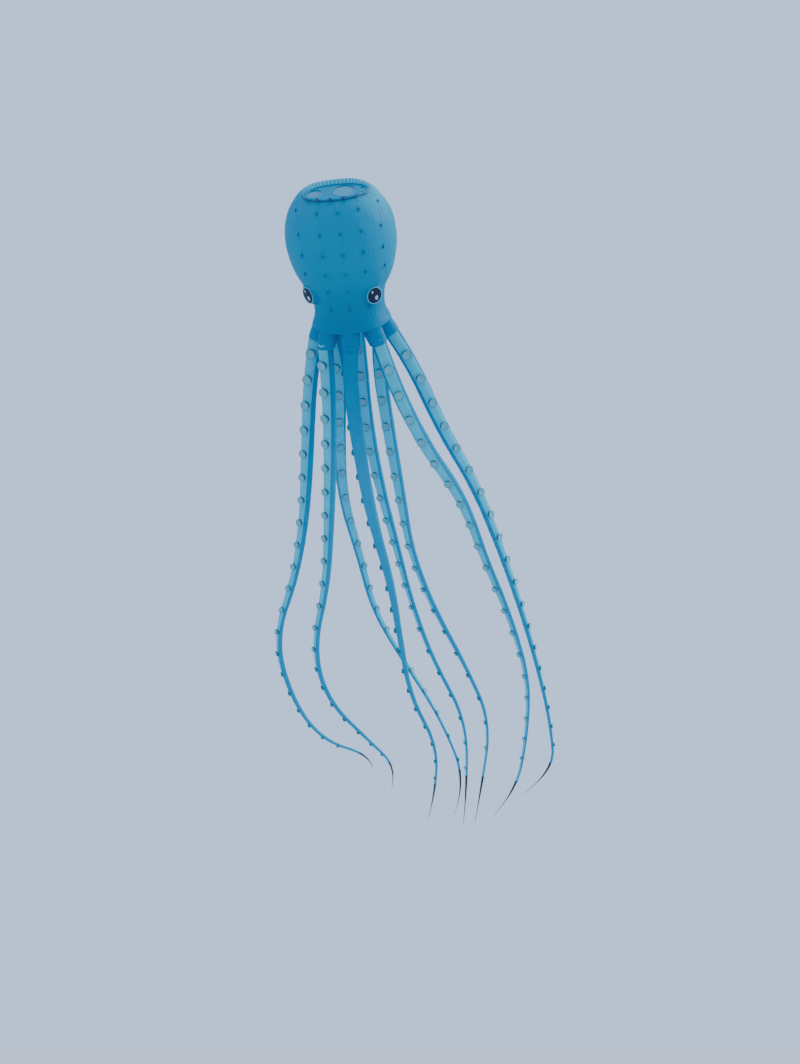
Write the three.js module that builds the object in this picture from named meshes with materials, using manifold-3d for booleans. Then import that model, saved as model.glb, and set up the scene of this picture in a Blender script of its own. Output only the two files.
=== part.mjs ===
// Octopus kite in flight: an air-filled head with internal ribs and eight long tapering tentacles.
// Millimetres. +X is the kite's right as it is seen from the flyer, +Y is downwind, +Z is up.
// The origin is the middle bridle tab of the belly, where the kite hangs on its bridle.
import * as THREE from "three";
import { mergeVertices } from "three/addons/utils/BufferGeometryUtils.js";
import Module from "manifold-3d";

const wasm = await Module();
wasm.setup();

// Cloth and clearances
const SKIN = 2.5; // wall of every sewn skin, its seam tapes included
const GAP = 0.5; // clearance between pieces that meet at a seam
const RIB_WALL = 2.5;
const RIB_CLEARANCE = 3; // from a rib's edge to the inside of the skin

// Head: [distance from the intake, radius] along its axis
const HEAD_PROFILE = [
  [0, 830],
  [80, 1000],
  [150, 1095],
  [250, 1200],
  [500, 1350],
  [1000, 1450],
  [1440, 1420],
  [1840, 1310],
  [2110, 1190],
  [2350, 1050],
  [2700, 970],
  [2930, 965],
  [3100, 1015],
  [3200, 1060],
];
const COLLAR_PROFILE = [
  [3200, 1060],
  [3400, 1150],
  [3600, 1200],
];
const HEAD_PITCH = 22; // degrees that the axis falls from crown to neck
const HEAD_YAW = 5.5; // degrees that the neck end swings towards +X
const HEAD_ROLL = 7; // degrees that the belly turns towards +X
const ROUND_SIDES = 48;
const BELLY_FACETS = 2; // between two ribs
const SIDE_FACETS = 5;

// Ribs and bridle tabs
const RIB_SPACING = 520;
const RIBS_EACH_SIDE = 2;
const RIB_START = 150;
const RIB_END = 3100;
const RIB_LEAST_HEIGHT = 260; // a rib stops where the head gets lower than this on each side
const STEEPEST_SEAM = 0.955; // most that a seam's offset may be of the head's radius
const VENT_RADIUS = 230;
const VENT_STATIONS = [560, 1130, 1700];
const TAB_STATIONS = [190, 650, 1150, 1650, 2150, 2700];
const TAB_WIDTH = 70;
const TAB_HEIGHT = 65;
const PULL_TAB = 2; // the tab of the middle rib that holds the origin
const TAB_TO_MOUND = 50; // least distance from a tab's centre to an eye mound's rim

// Intake
const HEM_DEPTH = 60;
const HEM_WALL = 12;
const MESH_WALL = 2.5;

// Neck
const CLOSING_STATION = 3300;
const PORT_RADIUS = 110;

// Eyes
const EYE_STATIONS = { left: 2310, right: 2380 };
const EYE_ANGLES = { left: -64, right: 37 }; // degrees round the head from the belly
const EYE_TILT = 5; // degrees that an eye leans with the narrowing skin towards the neck
const EYE_LEAN = 10; // degrees that an eye leans towards the belly
const MOUND_RADIUS = 278;
const MOUND_HEIGHT = 165;
const EYE_RADIUS = 205;
const EYE_WALL = 8;
const EYE_SEAT = 110; // height of the flat that the eye is sewn to
const MOUND_CLEARANCE = 4;

// Tentacles
const ROOT_CIRCLE = 1020;
const ROOT_ROLL = -6;
const ROOT_LENGTH = 60; // from the collar's edge to the root hinge
const TENTACLE_LENGTH = 17000; // blue, air-filled part
const TIP_LENGTH = 1600;
const KNEE = 8500;
const HINGE_GAP = 70; // bare length on each side of a hinge, which the bending skin needs
const TUBE_RADII = [210, 190, 125, 78, 42]; // evenly spaced along the blue part
const TIP_RADII = [42, 36, 26, 12, 8, 6];
const ROUTE_STEP = 100;
const TUBE_STEPS = 8; // stations along one tube panel
const SUCKER_SIDE = 100; // degrees round a tentacle that its sucker panel takes up; the back has the rest
const FACET_TURN = 34; // most degrees that one facet of a tube panel turns

// Each tentacle leaves the collar at an angle round the head from the belly. Its headings are evenly
// spaced from root to tip: sway is degrees to the right of downwind, dip is degrees below the horizon.
// turn is where its suckers face, in degrees from straight down to the right, at its root and its end.
const TENTACLES = [
  {
    angle: 0,
    sway: [-4, 6, 9, 15, 9, 10, 29, -1, -14],
    dip: [19, 21, 23, 26, 30, 32, 30, 30, 36],
    turn: [-150, -70],
  },
  {
    angle: 45,
    sway: [18, 25, 35, 22, 30, 23, 1, -7, -48],
    dip: [19, 18, 18, 26, 36, 40, 37, 34, 34],
    turn: [20, -70],
  },
  {
    angle: 90,
    sway: [33, 25, 33, 26, 25, 21, 17, 10, -73],
    dip: [14, 20, 24, 31, 36, 35, 31, 32, 31],
    turn: [22, 110],
  },
  {
    angle: 135,
    sway: [-5, 8, 10, 10, 23, 39, 44, -19, -24],
    dip: [18, 21, 25, 27, 30, 41, 53, 61, 61],
    turn: [0, -70],
  },
  {
    angle: 180,
    sway: [5, 4, 10, 15, 16, 29, 56, 0, -18],
    dip: [17, 21, 24, 27, 33, 45, 55, 63, 68],
    turn: [0, -65],
  },
  {
    angle: 225,
    sway: [13, -4, 0, 15, 13, 37, 52, 44, -46],
    dip: [15, 22, 27, 28, 30, 36, 47, 57, 60],
    turn: [-25, 120],
  },
  {
    angle: 270,
    sway: [-14, -6, -6, -12, -26, 14, 26, 47, -1],
    dip: [20, 24, 27, 33, 40, 37, 22, 1, 7],
    turn: [-23, -85],
  },
  {
    angle: 315,
    sway: [2, -2, -4, -5, -16, 11, 38, 27, -10],
    dip: [19, 22, 25, 32, 36, 28, 20, 10, 23],
    turn: [-28, -80],
  },
];

const radians = THREE.MathUtils.degToRad;

const COLOURS = {
  blue: { color: 0x0c9ccf, roughness: 0.55 },
  darkBlue: { color: 0x0880b0, roughness: 0.55 },
  pale: { color: 0x79c3dc, roughness: 0.5 },
  mesh: { color: 0x8fa9b4, roughness: 0.7 },
  tape: { color: 0x06648f, roughness: 0.6 },
  black: { color: 0x101418, roughness: 0.6 },
};

function material(name) {
  return new THREE.MeshStandardMaterial({ ...COLOURS[name], metalness: 0 });
}

// The value at a station of a list of [station, value] pairs, with straight lines between them.
function valueAt(pairs, station) {
  let i = 1;
  while (i < pairs.length - 1 && station > pairs[i][0]) i += 1;
  const [s0, v0] = pairs[i - 1];
  const [s1, v1] = pairs[i];
  return v0 + ((v1 - v0) * (station - s0)) / (s1 - s0);
}

// The value at a fraction from 0 to 1 of a list of evenly spaced values.
function blendList(values, fraction) {
  const place = fraction * (values.length - 1);
  const i = Math.min(Math.floor(place), values.length - 2);
  return THREE.MathUtils.lerp(values[i], values[i + 1], place - i);
}

// A closed sheet of cloth. place(station, across, depth) gives a point at a station, from 0 to 1 across
// the sheet, at a depth below its outside. Stations run to the right of across as seen from outside.
function sheetGeometry(stations, facets, wall, place) {
  const rows = stations.length - 1;
  const row = facets + 1;
  const layer = stations.length * row;
  const positions = [0, wall].flatMap((depth) =>
    stations.flatMap((station) =>
      Array.from({ length: row }, (_, j) => place(station, j / facets, depth).toArray()).flat(),
    ),
  );
  const index = [];
  const at = (below, i, j) => below * layer + i * row + j;
  const quad = (a, b, c, d) => index.push(a, b, c, a, c, d);
  for (let i = 0; i < rows; i += 1) {
    for (let j = 0; j < facets; j += 1) {
      quad(at(0, i, j), at(0, i + 1, j), at(0, i + 1, j + 1), at(0, i, j + 1));
      quad(at(1, i, j), at(1, i, j + 1), at(1, i + 1, j + 1), at(1, i + 1, j));
    }
    quad(at(0, i, 0), at(1, i, 0), at(1, i + 1, 0), at(0, i + 1, 0));
    quad(at(0, i, facets), at(0, i + 1, facets), at(1, i + 1, facets), at(1, i, facets));
  }
  for (let j = 0; j < facets; j += 1) {
    quad(at(0, 0, j), at(0, 0, j + 1), at(1, 0, j + 1), at(1, 0, j));
    quad(at(0, rows, j), at(1, rows, j), at(1, rows, j + 1), at(0, rows, j + 1));
  }
  const geometry = new THREE.BufferGeometry();
  geometry.setAttribute("position", new THREE.Float32BufferAttribute(positions, 3));
  geometry.setIndex(index);
  geometry.computeVertexNormals();
  return geometry;
}

function toSolid(mesh) {
  mesh.updateMatrix();
  const bare = mesh.geometry.clone().applyMatrix4(mesh.matrix);
  bare.deleteAttribute("normal");
  bare.deleteAttribute("uv");
  const merged = mergeVertices(bare);
  return new wasm.Manifold(
    new wasm.Mesh({
      numProp: 3,
      vertProperties: merged.attributes.position.array,
      triVerts: new Uint32Array(merged.index.array),
    }),
  );
}

function fromSolid(solid) {
  const { vertProperties, triVerts } = solid.getMesh();
  const geometry = new THREE.BufferGeometry();
  geometry.setAttribute("position", new THREE.BufferAttribute(vertProperties, 3));
  geometry.setIndex(new THREE.BufferAttribute(triVerts, 1));
  geometry.computeVertexNormals();
  return geometry;
}

function addMesh(group, name, geometry, colour) {
  const mesh = new THREE.Mesh(geometry, material(colour));
  mesh.name = name;
  group.add(mesh);
  return mesh;
}

// The head's own frame: +Y runs along its axis from crown to neck, -Z is the belly, +Z the back.
const head = new THREE.Group();
head.rotation.set(radians(-HEAD_PITCH), radians(-HEAD_ROLL), radians(-HEAD_YAW), "ZXY");

const headRadius = (station) => valueAt(HEAD_PROFILE, station);

// The angle round the head of the seam over a rib, at the offset of the rib from the middle.
function seamAngle(station, offset, shift) {
  const share = THREE.MathUtils.clamp(offset / headRadius(station), -STEEPEST_SEAM, STEEPEST_SEAM);
  const angle = Math.asin(share);
  return angle + shift / (headRadius(station) * Math.cos(angle));
}

function onHead(radius, angle, station) {
  return new THREE.Vector3(radius * Math.sin(angle), station, -radius * Math.cos(angle));
}

const SEAM_SHIFT = RIB_WALL / 2 + SKIN + GAP; // a panel is cut square, so its inner edge leans in
const OUTER_RIB = RIBS_EACH_SIDE * RIB_SPACING;
const HEAD_STATIONS = HEAD_PROFILE.map(([station]) => station);

// A panel of the head's skin; angleAt(station, across) is the angle round the head.
function addHeadPanel(name, facets, angleAt) {
  const geometry = sheetGeometry(HEAD_STATIONS, facets, SKIN, (station, across, depth) =>
    onHead(headRadius(station) - depth, angleAt(station, across), station),
  );
  addMesh(head, name, geometry, "blue");
}

function addHeadSkin() {
  const { lerp } = THREE.MathUtils;
  for (let i = 0; i < 2 * RIBS_EACH_SIDE; i += 1) {
    const offset = (i - RIBS_EACH_SIDE) * RIB_SPACING;
    addHeadPanel(`belly_panel_${i + 1}`, BELLY_FACETS, (s, across) =>
      seamAngle(s, lerp(offset, offset + RIB_SPACING, across), lerp(SEAM_SHIFT, -SEAM_SHIFT, across)),
    );
  }
  const side = (s, across) =>
    lerp(seamAngle(s, OUTER_RIB, SEAM_SHIFT), Math.PI - seamAngle(s, OUTER_RIB, SEAM_SHIFT), across);
  addHeadPanel("side_panel_right", SIDE_FACETS, side);
  addHeadPanel("side_panel_left", SIDE_FACETS, (s, across) => 2 * Math.PI - side(s, 1 - across));
  // A facet edge of the back panel lies over each rib.
  addHeadPanel("back_panel", 2 * RIBS_EACH_SIDE * BELLY_FACETS, (s, across) => {
    const [offset, shift] = [lerp(OUTER_RIB, -OUTER_RIB, across), lerp(-SEAM_SHIFT, SEAM_SHIFT, across)];
    return Math.PI - seamAngle(s, offset, shift);
  });
}

// A rib's edge inside the skin, as [station, half height] pairs, where the head is high enough for it.
function ribEdge(offset) {
  const height = (s) => {
    const inside = headRadius(s) - SKIN - RIB_CLEARANCE;
    return Math.sqrt(Math.max(inside ** 2 - (Math.abs(offset) + RIB_WALL / 2) ** 2, 0));
  };
  return HEAD_STATIONS.filter((s) => s >= RIB_START && s <= RIB_END)
    .map((s) => [s, height(s)])
    .filter(([, h]) => h > RIB_LEAST_HEIGHT);
}

const tabReach = (station, offset) =>
  Math.sqrt(headRadius(station) ** 2 - offset ** 2) + TAB_HEIGHT;

// Whether a tab at a station of a rib has room beside the eye mounds. One without room isn't sewn.
function clearOfMounds(station, offset) {
  const angle = seamAngle(station, offset, 0);
  return Object.keys(EYE_ANGLES).every((side) => {
    const across = (angle - radians(EYE_ANGLES[side])) * headRadius(EYE_STATIONS[side]);
    return Math.hypot(across, station - EYE_STATIONS[side]) > MOUND_RADIUS + TAB_TO_MOUND;
  });
}

// The belly edge of a rib, which steps out to the bridle tabs and back in.
function bellyEdge(edge, offset) {
  const half = TAB_WIDTH / 2;
  const fits = (t) => t - half > edge[0][0] && t + half < edge.at(-1)[0] && clearOfMounds(t, offset);
  const tabs = TAB_STATIONS.filter(fits);
  const between = edge.filter(([s]) => tabs.every((t) => Math.abs(s - t) > half));
  const stepped = tabs.map((t) => [
    [t - half, valueAt(edge, t - half)],
    [t - half, tabReach(t, offset)],
    [t + half, tabReach(t, offset)],
    [t + half, valueAt(edge, t + half)],
  ]);
  return [...between.map((point) => [point]), ...stepped].sort((a, b) => a[0][0] - b[0][0]).flat();
}

function addRibs() {
  for (let i = -RIBS_EACH_SIDE; i <= RIBS_EACH_SIDE; i += 1) {
    const offset = i * RIB_SPACING;
    const edge = ribEdge(offset);
    const outline = new THREE.Shape();
    outline.moveTo(...edge[0]);
    for (const point of edge.slice(1)) outline.lineTo(...point);
    for (const [s, h] of bellyEdge(edge, offset).reverse()) outline.lineTo(s, -h);
    for (const s of VENT_STATIONS) {
      const vent = new THREE.Path();
      vent.absarc(s, 0, VENT_RADIUS, 0, 2 * Math.PI);
      outline.holes.push(vent);
    }
    const plate = new THREE.ExtrudeGeometry(outline, {
      depth: RIB_WALL,
      bevelEnabled: false,
      curveSegments: 6,
    });
    // The outline's first axis runs along the head and its second towards the back.
    const axes = new THREE.Matrix4().makeBasis(
      new THREE.Vector3(0, 1, 0),
      new THREE.Vector3(0, 0, 1),
      new THREE.Vector3(1, 0, 0),
    );
    plate.translate(0, 0, offset - RIB_WALL / 2);
    plate.applyMatrix4(axes);
    addMesh(head, `rib_${i + RIBS_EACH_SIDE + 1}`, plate, "tape");
  }
}

// A thin ring of cloth round the head's axis, from its outside profile.
function ringGeometry(profile, wall) {
  const outside = profile.map(([s, r]) => new THREE.Vector2(r, s));
  const inside = profile.map(([s, r]) => new THREE.Vector2(r - wall, s)).reverse();
  return new THREE.LatheGeometry([...outside, ...inside, outside[0]], ROUND_SIDES);
}

function addIntake() {
  const rim = headRadius(0);
  const hem = [
    [-HEM_DEPTH, rim],
    [-GAP, rim],
  ];
  addMesh(head, "intake_hem", ringGeometry(hem, HEM_WALL), "tape");
  const across = rim - HEM_WALL - GAP;
  const disc = new THREE.CylinderGeometry(across, across, MESH_WALL, ROUND_SIDES);
  addMesh(head, "intake_mesh", disc, "mesh").position.y = -HEM_DEPTH / 2;
}

function addNeck() {
  const collar = COLLAR_PROFILE.map(([s, r], i) => [i ? s : s + GAP, r]);
  addMesh(head, "collar", ringGeometry(collar, SKIN), "darkBlue");
  const plate = new THREE.Shape();
  plate.absarc(0, 0, valueAt(COLLAR_PROFILE, CLOSING_STATION) - SKIN - RIB_CLEARANCE, 0, 2 * Math.PI);
  for (const { angle } of TENTACLES) {
    const port = new THREE.Path();
    const place = onHead(ROOT_CIRCLE - 2 * PORT_RADIUS, radians(angle + ROOT_ROLL), 0);
    port.absarc(place.x, place.z, PORT_RADIUS, 0, 2 * Math.PI);
    plate.holes.push(port);
  }
  const geometry = new THREE.ExtrudeGeometry(plate, {
    depth: SKIN,
    bevelEnabled: false,
    curveSegments: 6,
  });
  geometry.rotateX(Math.PI / 2);
  addMesh(head, "neck_closing_panel", geometry, "blue").position.y = CLOSING_STATION;
}

// The eye on one side: a padded mound sewn on the head, with a flat seat under the eye itself.
function addEye(side) {
  const angle = radians(EYE_ANGLES[side]);
  const station = EYE_STATIONS[side];
  const facing = angle - Math.sign(angle) * radians(EYE_LEAN);
  const leaning = new THREE.Euler(radians(EYE_TILT), -facing, 0, "YXZ");
  const outward = new THREE.Vector3(0, 0, -1).applyEuler(leaning);
  const place = (mesh, height) => {
    mesh.rotation.copy(leaning);
    mesh.position.copy(onHead(headRadius(station), angle, station)).addScaledVector(outward, height);
    return mesh;
  };
  const envelope = HEAD_PROFILE.map(([s, r]) => new THREE.Vector2(r + MOUND_CLEARANCE, s));
  const ends = [new THREE.Vector2(0, 0), new THREE.Vector2(0, HEAD_STATIONS.at(-1))];
  const body = new THREE.Mesh(
    new THREE.LatheGeometry([ends[0], ...envelope, ends[1]], 2 * ROUND_SIDES),
  );
  const dome = place(new THREE.Mesh(new THREE.SphereGeometry(1, 24, 12)), 0);
  dome.scale.set(MOUND_RADIUS, MOUND_RADIUS, MOUND_HEIGHT);
  const above = new THREE.BoxGeometry(2 * MOUND_RADIUS, 2 * MOUND_RADIUS, MOUND_HEIGHT);
  const cut = place(new THREE.Mesh(above), EYE_SEAT + MOUND_HEIGHT / 2);
  const mound = toSolid(dome).subtract(toSolid(body)).subtract(toSolid(cut));
  addMesh(head, `eye_mound_${side}`, fromSolid(mound), "blue");
  const disc = new THREE.CylinderGeometry(EYE_RADIUS, EYE_RADIUS, EYE_WALL, 24).rotateX(Math.PI / 2);
  place(addMesh(head, `eye_${side}`, disc, "black"), EYE_SEAT + GAP + EYE_WALL / 2);
}

// The direction of travel for a sway and a dip in degrees.
function heading(sway, dip) {
  const [a, b] = [radians(sway), radians(dip)];
  return new THREE.Vector3(Math.sin(a) * Math.cos(b), Math.cos(a) * Math.cos(b), -Math.sin(b));
}

// A tentacle's centre line in the kite's frame: where(s) and frame(s) at a distance s from its root.
function routeOf(tentacle, root) {
  const whole = TENTACLE_LENGTH + TIP_LENGTH;
  const along = (s) => {
    const fraction = THREE.MathUtils.clamp(s / whole, 0, 1);
    return heading(blendList(tentacle.sway, fraction), blendList(tentacle.dip, fraction));
  };
  const points = [root.clone()];
  while (points.length * ROUTE_STEP <= whole + ROUTE_STEP) {
    const middle = (points.length - 0.5) * ROUTE_STEP;
    points.push(points.at(-1).clone().addScaledVector(along(middle), ROUTE_STEP));
  }
  const where = (s) => {
    const i = Math.min(Math.floor(s / ROUTE_STEP), points.length - 2);
    return points[i].clone().lerp(points[i + 1], s / ROUTE_STEP - i);
  };
  const frame = (s) => {
    const tangent = along(s);
    const down = new THREE.Vector3(0, 0, -1).projectOnPlane(tangent).normalize();
    return { tangent, down, right: down.clone().cross(tangent) };
  };
  const turn = (s) => radians(blendList(tentacle.turn, THREE.MathUtils.clamp(s / TENTACLE_LENGTH, 0, 1)));
  return { where, frame, turn };
}

const tubeRadius = (s) => blendList(TUBE_RADII, THREE.MathUtils.clamp(s / TENTACLE_LENGTH, 0, 1));

// A point of a tentacle at a distance s from its root, at an angle from straight down to the right.
function onTube(route, s, angle, radius) {
  const { down, right } = route.frame(s);
  return route
    .where(s)
    .addScaledVector(right, radius * Math.sin(angle))
    .addScaledVector(down, radius * Math.cos(angle));
}

// One panel of a tentacle's skin: the sucker side or the back, from its middle and the degrees it takes up.
function tubePanel(route, from, to, centre, turned) {
  const stations = Array.from({ length: TUBE_STEPS + 1 }, (_, i) =>
    THREE.MathUtils.lerp(from, to, i / TUBE_STEPS),
  );
  return sheetGeometry(stations, Math.ceil(turned / FACET_TURN), SKIN, (s, across, depth) => {
    const edge = radians(turned) / 2 - GAP / tubeRadius(s);
    const angle = route.turn(s) + centre + THREE.MathUtils.lerp(-edge, edge, across);
    return onTube(route, s, angle, tubeRadius(s) - depth);
  });
}

// The black tip: a sleeve that runs out into a thin tail.
function tipGeometry(route) {
  const sides = 6;
  const from = TENTACLE_LENGTH + HINGE_GAP / 2;
  const rings = TIP_RADII.length;
  const positions = [];
  for (let i = 0; i < rings; i += 1) {
    const s = THREE.MathUtils.lerp(from, TENTACLE_LENGTH + TIP_LENGTH, i / (rings - 1));
    for (let j = 0; j < sides; j += 1) {
      positions.push(...onTube(route, s, (2 * Math.PI * j) / sides, TIP_RADII[i]).toArray());
    }
  }
  const index = [];
  for (let i = 0; i < rings - 1; i += 1) {
    for (let j = 0; j < sides; j += 1) {
      const [a, b] = [i * sides + j, i * sides + ((j + 1) % sides)];
      index.push(a, a + sides, b + sides, a, b + sides, b);
    }
  }
  const last = (rings - 1) * sides;
  for (let j = 1; j < sides - 1; j += 1) {
    index.push(0, j, j + 1);
    index.push(last, last + j + 1, last + j);
  }
  const geometry = new THREE.BufferGeometry();
  geometry.setAttribute("position", new THREE.Float32BufferAttribute(positions, 3));
  geometry.setIndex(index);
  geometry.computeVertexNormals();
  return geometry;
}

function addTentacle(group, number, tentacle) {
  const collarEdge = COLLAR_PROFILE.at(-1)[0];
  const start = onHead(ROOT_CIRCLE, radians(tentacle.angle + ROOT_ROLL), collarEdge + ROOT_LENGTH);
  const route = routeOf(tentacle, head.localToWorld(start));
  const lengths = {
    upper: [HINGE_GAP, KNEE - HINGE_GAP],
    lower: [KNEE + HINGE_GAP, TENTACLE_LENGTH - HINGE_GAP / 2],
  };
  for (const [part, [from, to]] of Object.entries(lengths)) {
    const name = `tentacle_${number}_${part}`;
    const suckerPanel = tubePanel(route, from, to, 0, SUCKER_SIDE);
    const backPanel = tubePanel(route, from, to, Math.PI, 360 - SUCKER_SIDE);
    addMesh(group, `${name}_sucker_panel`, suckerPanel, "pale");
    addMesh(group, `${name}_back_panel`, backPanel, "blue");
  }
  addMesh(group, `tentacle_${number}_tip`, tipGeometry(route), "black");
}

const kite = new THREE.Group();
kite.add(head);
const pullTab = new THREE.Vector3(RIB_WALL / 2, TAB_STATIONS[PULL_TAB], 0);
pullTab.z = TAB_HEIGHT / 2 - tabReach(pullTab.y, 0);
head.position.copy(pullTab.applyEuler(head.rotation)).negate();
kite.updateMatrixWorld(true);

addHeadSkin();
addRibs();
addIntake();
addNeck();
addEye("left");
addEye("right");
TENTACLES.forEach((tentacle, i) => addTentacle(kite, i + 1, tentacle));

export default kite;
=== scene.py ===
"""Octopus kite in flight: its cloth, seams, suckers and eyes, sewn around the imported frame."""
import math

import bmesh
import bpy
import numpy as np
from mathutils import Matrix, Vector


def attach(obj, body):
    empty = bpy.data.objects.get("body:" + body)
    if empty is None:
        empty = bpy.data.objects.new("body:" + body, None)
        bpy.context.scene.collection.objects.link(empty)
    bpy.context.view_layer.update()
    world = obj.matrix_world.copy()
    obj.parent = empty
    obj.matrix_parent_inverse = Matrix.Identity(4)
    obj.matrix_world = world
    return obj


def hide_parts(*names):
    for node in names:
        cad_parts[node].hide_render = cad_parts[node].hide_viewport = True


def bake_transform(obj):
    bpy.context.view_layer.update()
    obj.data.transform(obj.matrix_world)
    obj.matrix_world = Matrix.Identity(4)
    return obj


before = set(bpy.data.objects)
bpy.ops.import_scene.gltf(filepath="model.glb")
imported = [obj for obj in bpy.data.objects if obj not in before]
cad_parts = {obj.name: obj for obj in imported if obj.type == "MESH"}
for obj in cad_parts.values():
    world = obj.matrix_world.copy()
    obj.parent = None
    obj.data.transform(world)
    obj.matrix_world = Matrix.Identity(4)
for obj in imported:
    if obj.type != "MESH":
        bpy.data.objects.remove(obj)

bl_info = {
    "name": "Octopus Kite",
    "version": (1, 0, 0),
    "blender": (4, 5, 0),
    "location": "3D View > Sidebar > Kite",
    "description": "Sews the cloth of an octopus kite around its packed frame",
    "category": "Add Mesh",
}

# The head, in its own frame: +Y runs along its axis from the intake to the neck, -Z is the belly.
HEAD_PITCH, HEAD_YAW, HEAD_ROLL = (math.radians(angle) for angle in (22, 5.5, 7))
HEAD_PROFILE = [  # (distance from the intake, radius), in metres
    (0, 0.83), (0.08, 1.0), (0.15, 1.095), (0.25, 1.2), (0.5, 1.35), (1.0, 1.45), (1.44, 1.42),
    (1.84, 1.31), (2.11, 1.19), (2.35, 1.05), (2.7, 0.97), (2.93, 0.965), (3.1, 1.015),
    (3.2, 1.06), (3.4, 1.15), (3.6, 1.2),
]
RIB_OFFSETS = [-1.04, -0.52, 0.0, 0.52, 1.04]
STEEPEST_SEAM = 0.955
RIB_WALL = 0.0025
TAB_STATIONS = [0.19, 0.65, 1.15, 1.65, 2.15, 2.7]
TABS_ON_OUTER_RIB = 4
TAB_WIDTH, TAB_HEIGHT, TAB_WALL = 0.07, 0.065, 0.012
TAB_SINK = 0.02  # how far a tab's foot is set in under the skin
PULL_STATION = 1.15  # the middle rib's tab here is the origin
HEM_DEPTH, HEM_WALL = 0.06, 0.012
NET_DEPTH, STRIPS_DEPTH, BINDING_DEPTH = 0.012, 0.03, 0.034  # in front of the intake's edge
NOSE_TAB_ANGLES = (-52, -30, -9, 12, 34, 57)  # round the intake, from straight down to the right
NOSE_TAB = 0.07, 0.12, 0.014  # width, height and wall
COLLAR_START, COLLAR_SEAM, COLLAR_EDGE = 2.9, 3.12, 3.3
LOBE_START = 0.7, 2.95  # radius and station inside the neck
LOBE_REACH = 0.3  # how far a lobe runs on to its tentacle before it is cut off
LOBE_END, LOBE_HEM = 0.08, 0.217  # where a lobe is cut off, from its tentacle's root, and its hem's radius
EYE_STATIONS = {"left": 2.31, "right": 2.38}
EYE_ANGLES = {"left": math.radians(-64), "right": math.radians(37)}
EYE_TILT, EYE_LEAN = math.radians(5), math.radians(10)  # of an eye, towards the neck and the belly
EYE_RADIUS, EYE_SEAT = 0.205, 0.11
MOUND_RADIUS, TAB_TO_MOUND = 0.278, 0.05
MOUND_FLAT, MOUND_RIM = 0.2, 0.33
EYE_DOME = [  # distance from the eye's middle, and height over its seat, out to its edge
    (0, 0.03), (0.05, 0.0285), (0.1, 0.0245), (0.14, 0.02), (0.17, 0.0155), (0.19, 0.012), (0.2, 0.0085),
    (EYE_RADIUS, 0.004),
]
EYE_BACK = [(0.2, 0.0), (0.0, 0.0)]
# The light patches of an eye: how far along and round the head from its middle, half length, half width;
# and the profile of one, as a share of its size and a height over the dome.
SHINES = [(-0.105, -0.065, 0.032, 0.026), (0.062, 0.045, 0.06, 0.046)]
SHINE_PROFILE = [(0, 0.004), (0.4, 0.0038), (0.8, 0.003), (1.0, 0.0012), (1.02, -0.002), (0, -0.002)]

# The tentacles: eight around the neck, numbered from the belly towards the right.
ROOT_CIRCLE, ROOT_ROLL, ROOT_STATION = 1.02, math.radians(-6), 3.66
TENTACLE_LENGTH, TIP_LENGTH = 17.0, 1.6
WHOLE_LENGTH = TENTACLE_LENGTH + TIP_LENGTH
TUBE_RADII = [0.21, 0.19, 0.125, 0.078, 0.042]
TIP_RADII = [0.042, 0.038, 0.034, 0.022, 0.015, 0.01]
ROUTE_STEP = 0.1
SUCKER_SIDE = math.radians(100)  # of a tentacle's girth; the back panel has the rest
# Around the neck in degrees; sway to the right and dip below the horizon, evenly spaced from root to
# tip; and where the suckers face at root and end, in degrees from straight down to the right.
TENTACLES = [
    (0, [-4, 6, 9, 15, 9, 10, 29, -1, -14], [19, 21, 23, 26, 30, 32, 30, 30, 36], [-150, -70]),
    (45, [18, 25, 35, 22, 30, 23, 1, -7, -48], [19, 18, 18, 26, 36, 40, 37, 34, 34], [20, -70]),
    (90, [33, 25, 33, 26, 25, 21, 17, 10, -73], [14, 20, 24, 31, 36, 35, 31, 32, 31], [22, 110]),
    (135, [-5, 8, 10, 10, 23, 39, 44, -19, -24], [18, 21, 25, 27, 30, 41, 53, 61, 61], [0, -70]),
    (180, [5, 4, 10, 15, 16, 29, 56, 0, -18], [17, 21, 24, 27, 33, 45, 55, 63, 68], [0, -65]),
    (225, [13, -4, 0, 15, 13, 37, 52, 44, -46], [15, 22, 27, 28, 30, 36, 47, 57, 60], [-25, 120]),
    (270, [-14, -6, -6, -12, -26, 14, 26, 47, -1], [20, 24, 27, 33, 40, 37, 22, 1, 7], [-23, -85]),
    (315, [2, -2, -4, -5, -16, 11, 38, 27, -10], [19, 22, 25, 32, 36, 28, 20, 10, 23], [-28, -80]),
]
# Each tentacle's skin is sewn from three lengths: name, start, end, the two bodies that it joins, and
# where it bends from one to the other.
LENGTHS = [
    ("root", -0.05, 4.25, "head", "tentacle_{}_upper", 0.06, 0.9),
    ("knee", 4.25, 12.75, "tentacle_{}_upper", "tentacle_{}_lower", 7.6, 9.4),
    ("end", 12.75, 17.0, "tentacle_{}_lower", "tentacle_{}_tip", 16.6, 17.4),
]
REPLACED = {"root": "upper", "knee": "lower"}  # the lengths whose panels stand for the frame's own

LAST_SUCKER = TENTACLE_LENGTH - 0.3
SUCKER_SINK = 0.012  # how far a sucker's foot is set into the skin
# The first sucker of each tentacle from its root, and the distance from each to the next, in metres.
SUCKER_ROWS = [
    (0.9, 0.83), (0.82, 0.84), (0.82, 0.85), (0.65, 0.9),
    (0.85, 0.88), (0.4, 0.9), (0.5, 0.81), (0.55, 0.83),
]

CAMERA_TO_INTAKE = (-1.629, 12.391, 18.075)  # to the right, away and up, in metres
CAMERA_PITCH = math.radians(32.6)
CAMERA_HEIGHT = 1.6
CAMERA_LENS, SENSOR = 27.03, 36.0


def length(name, description, default, **limits):
    return bpy.props.FloatProperty(
        name=name, description=description, default=default, unit="LENGTH", **limits
    )


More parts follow.
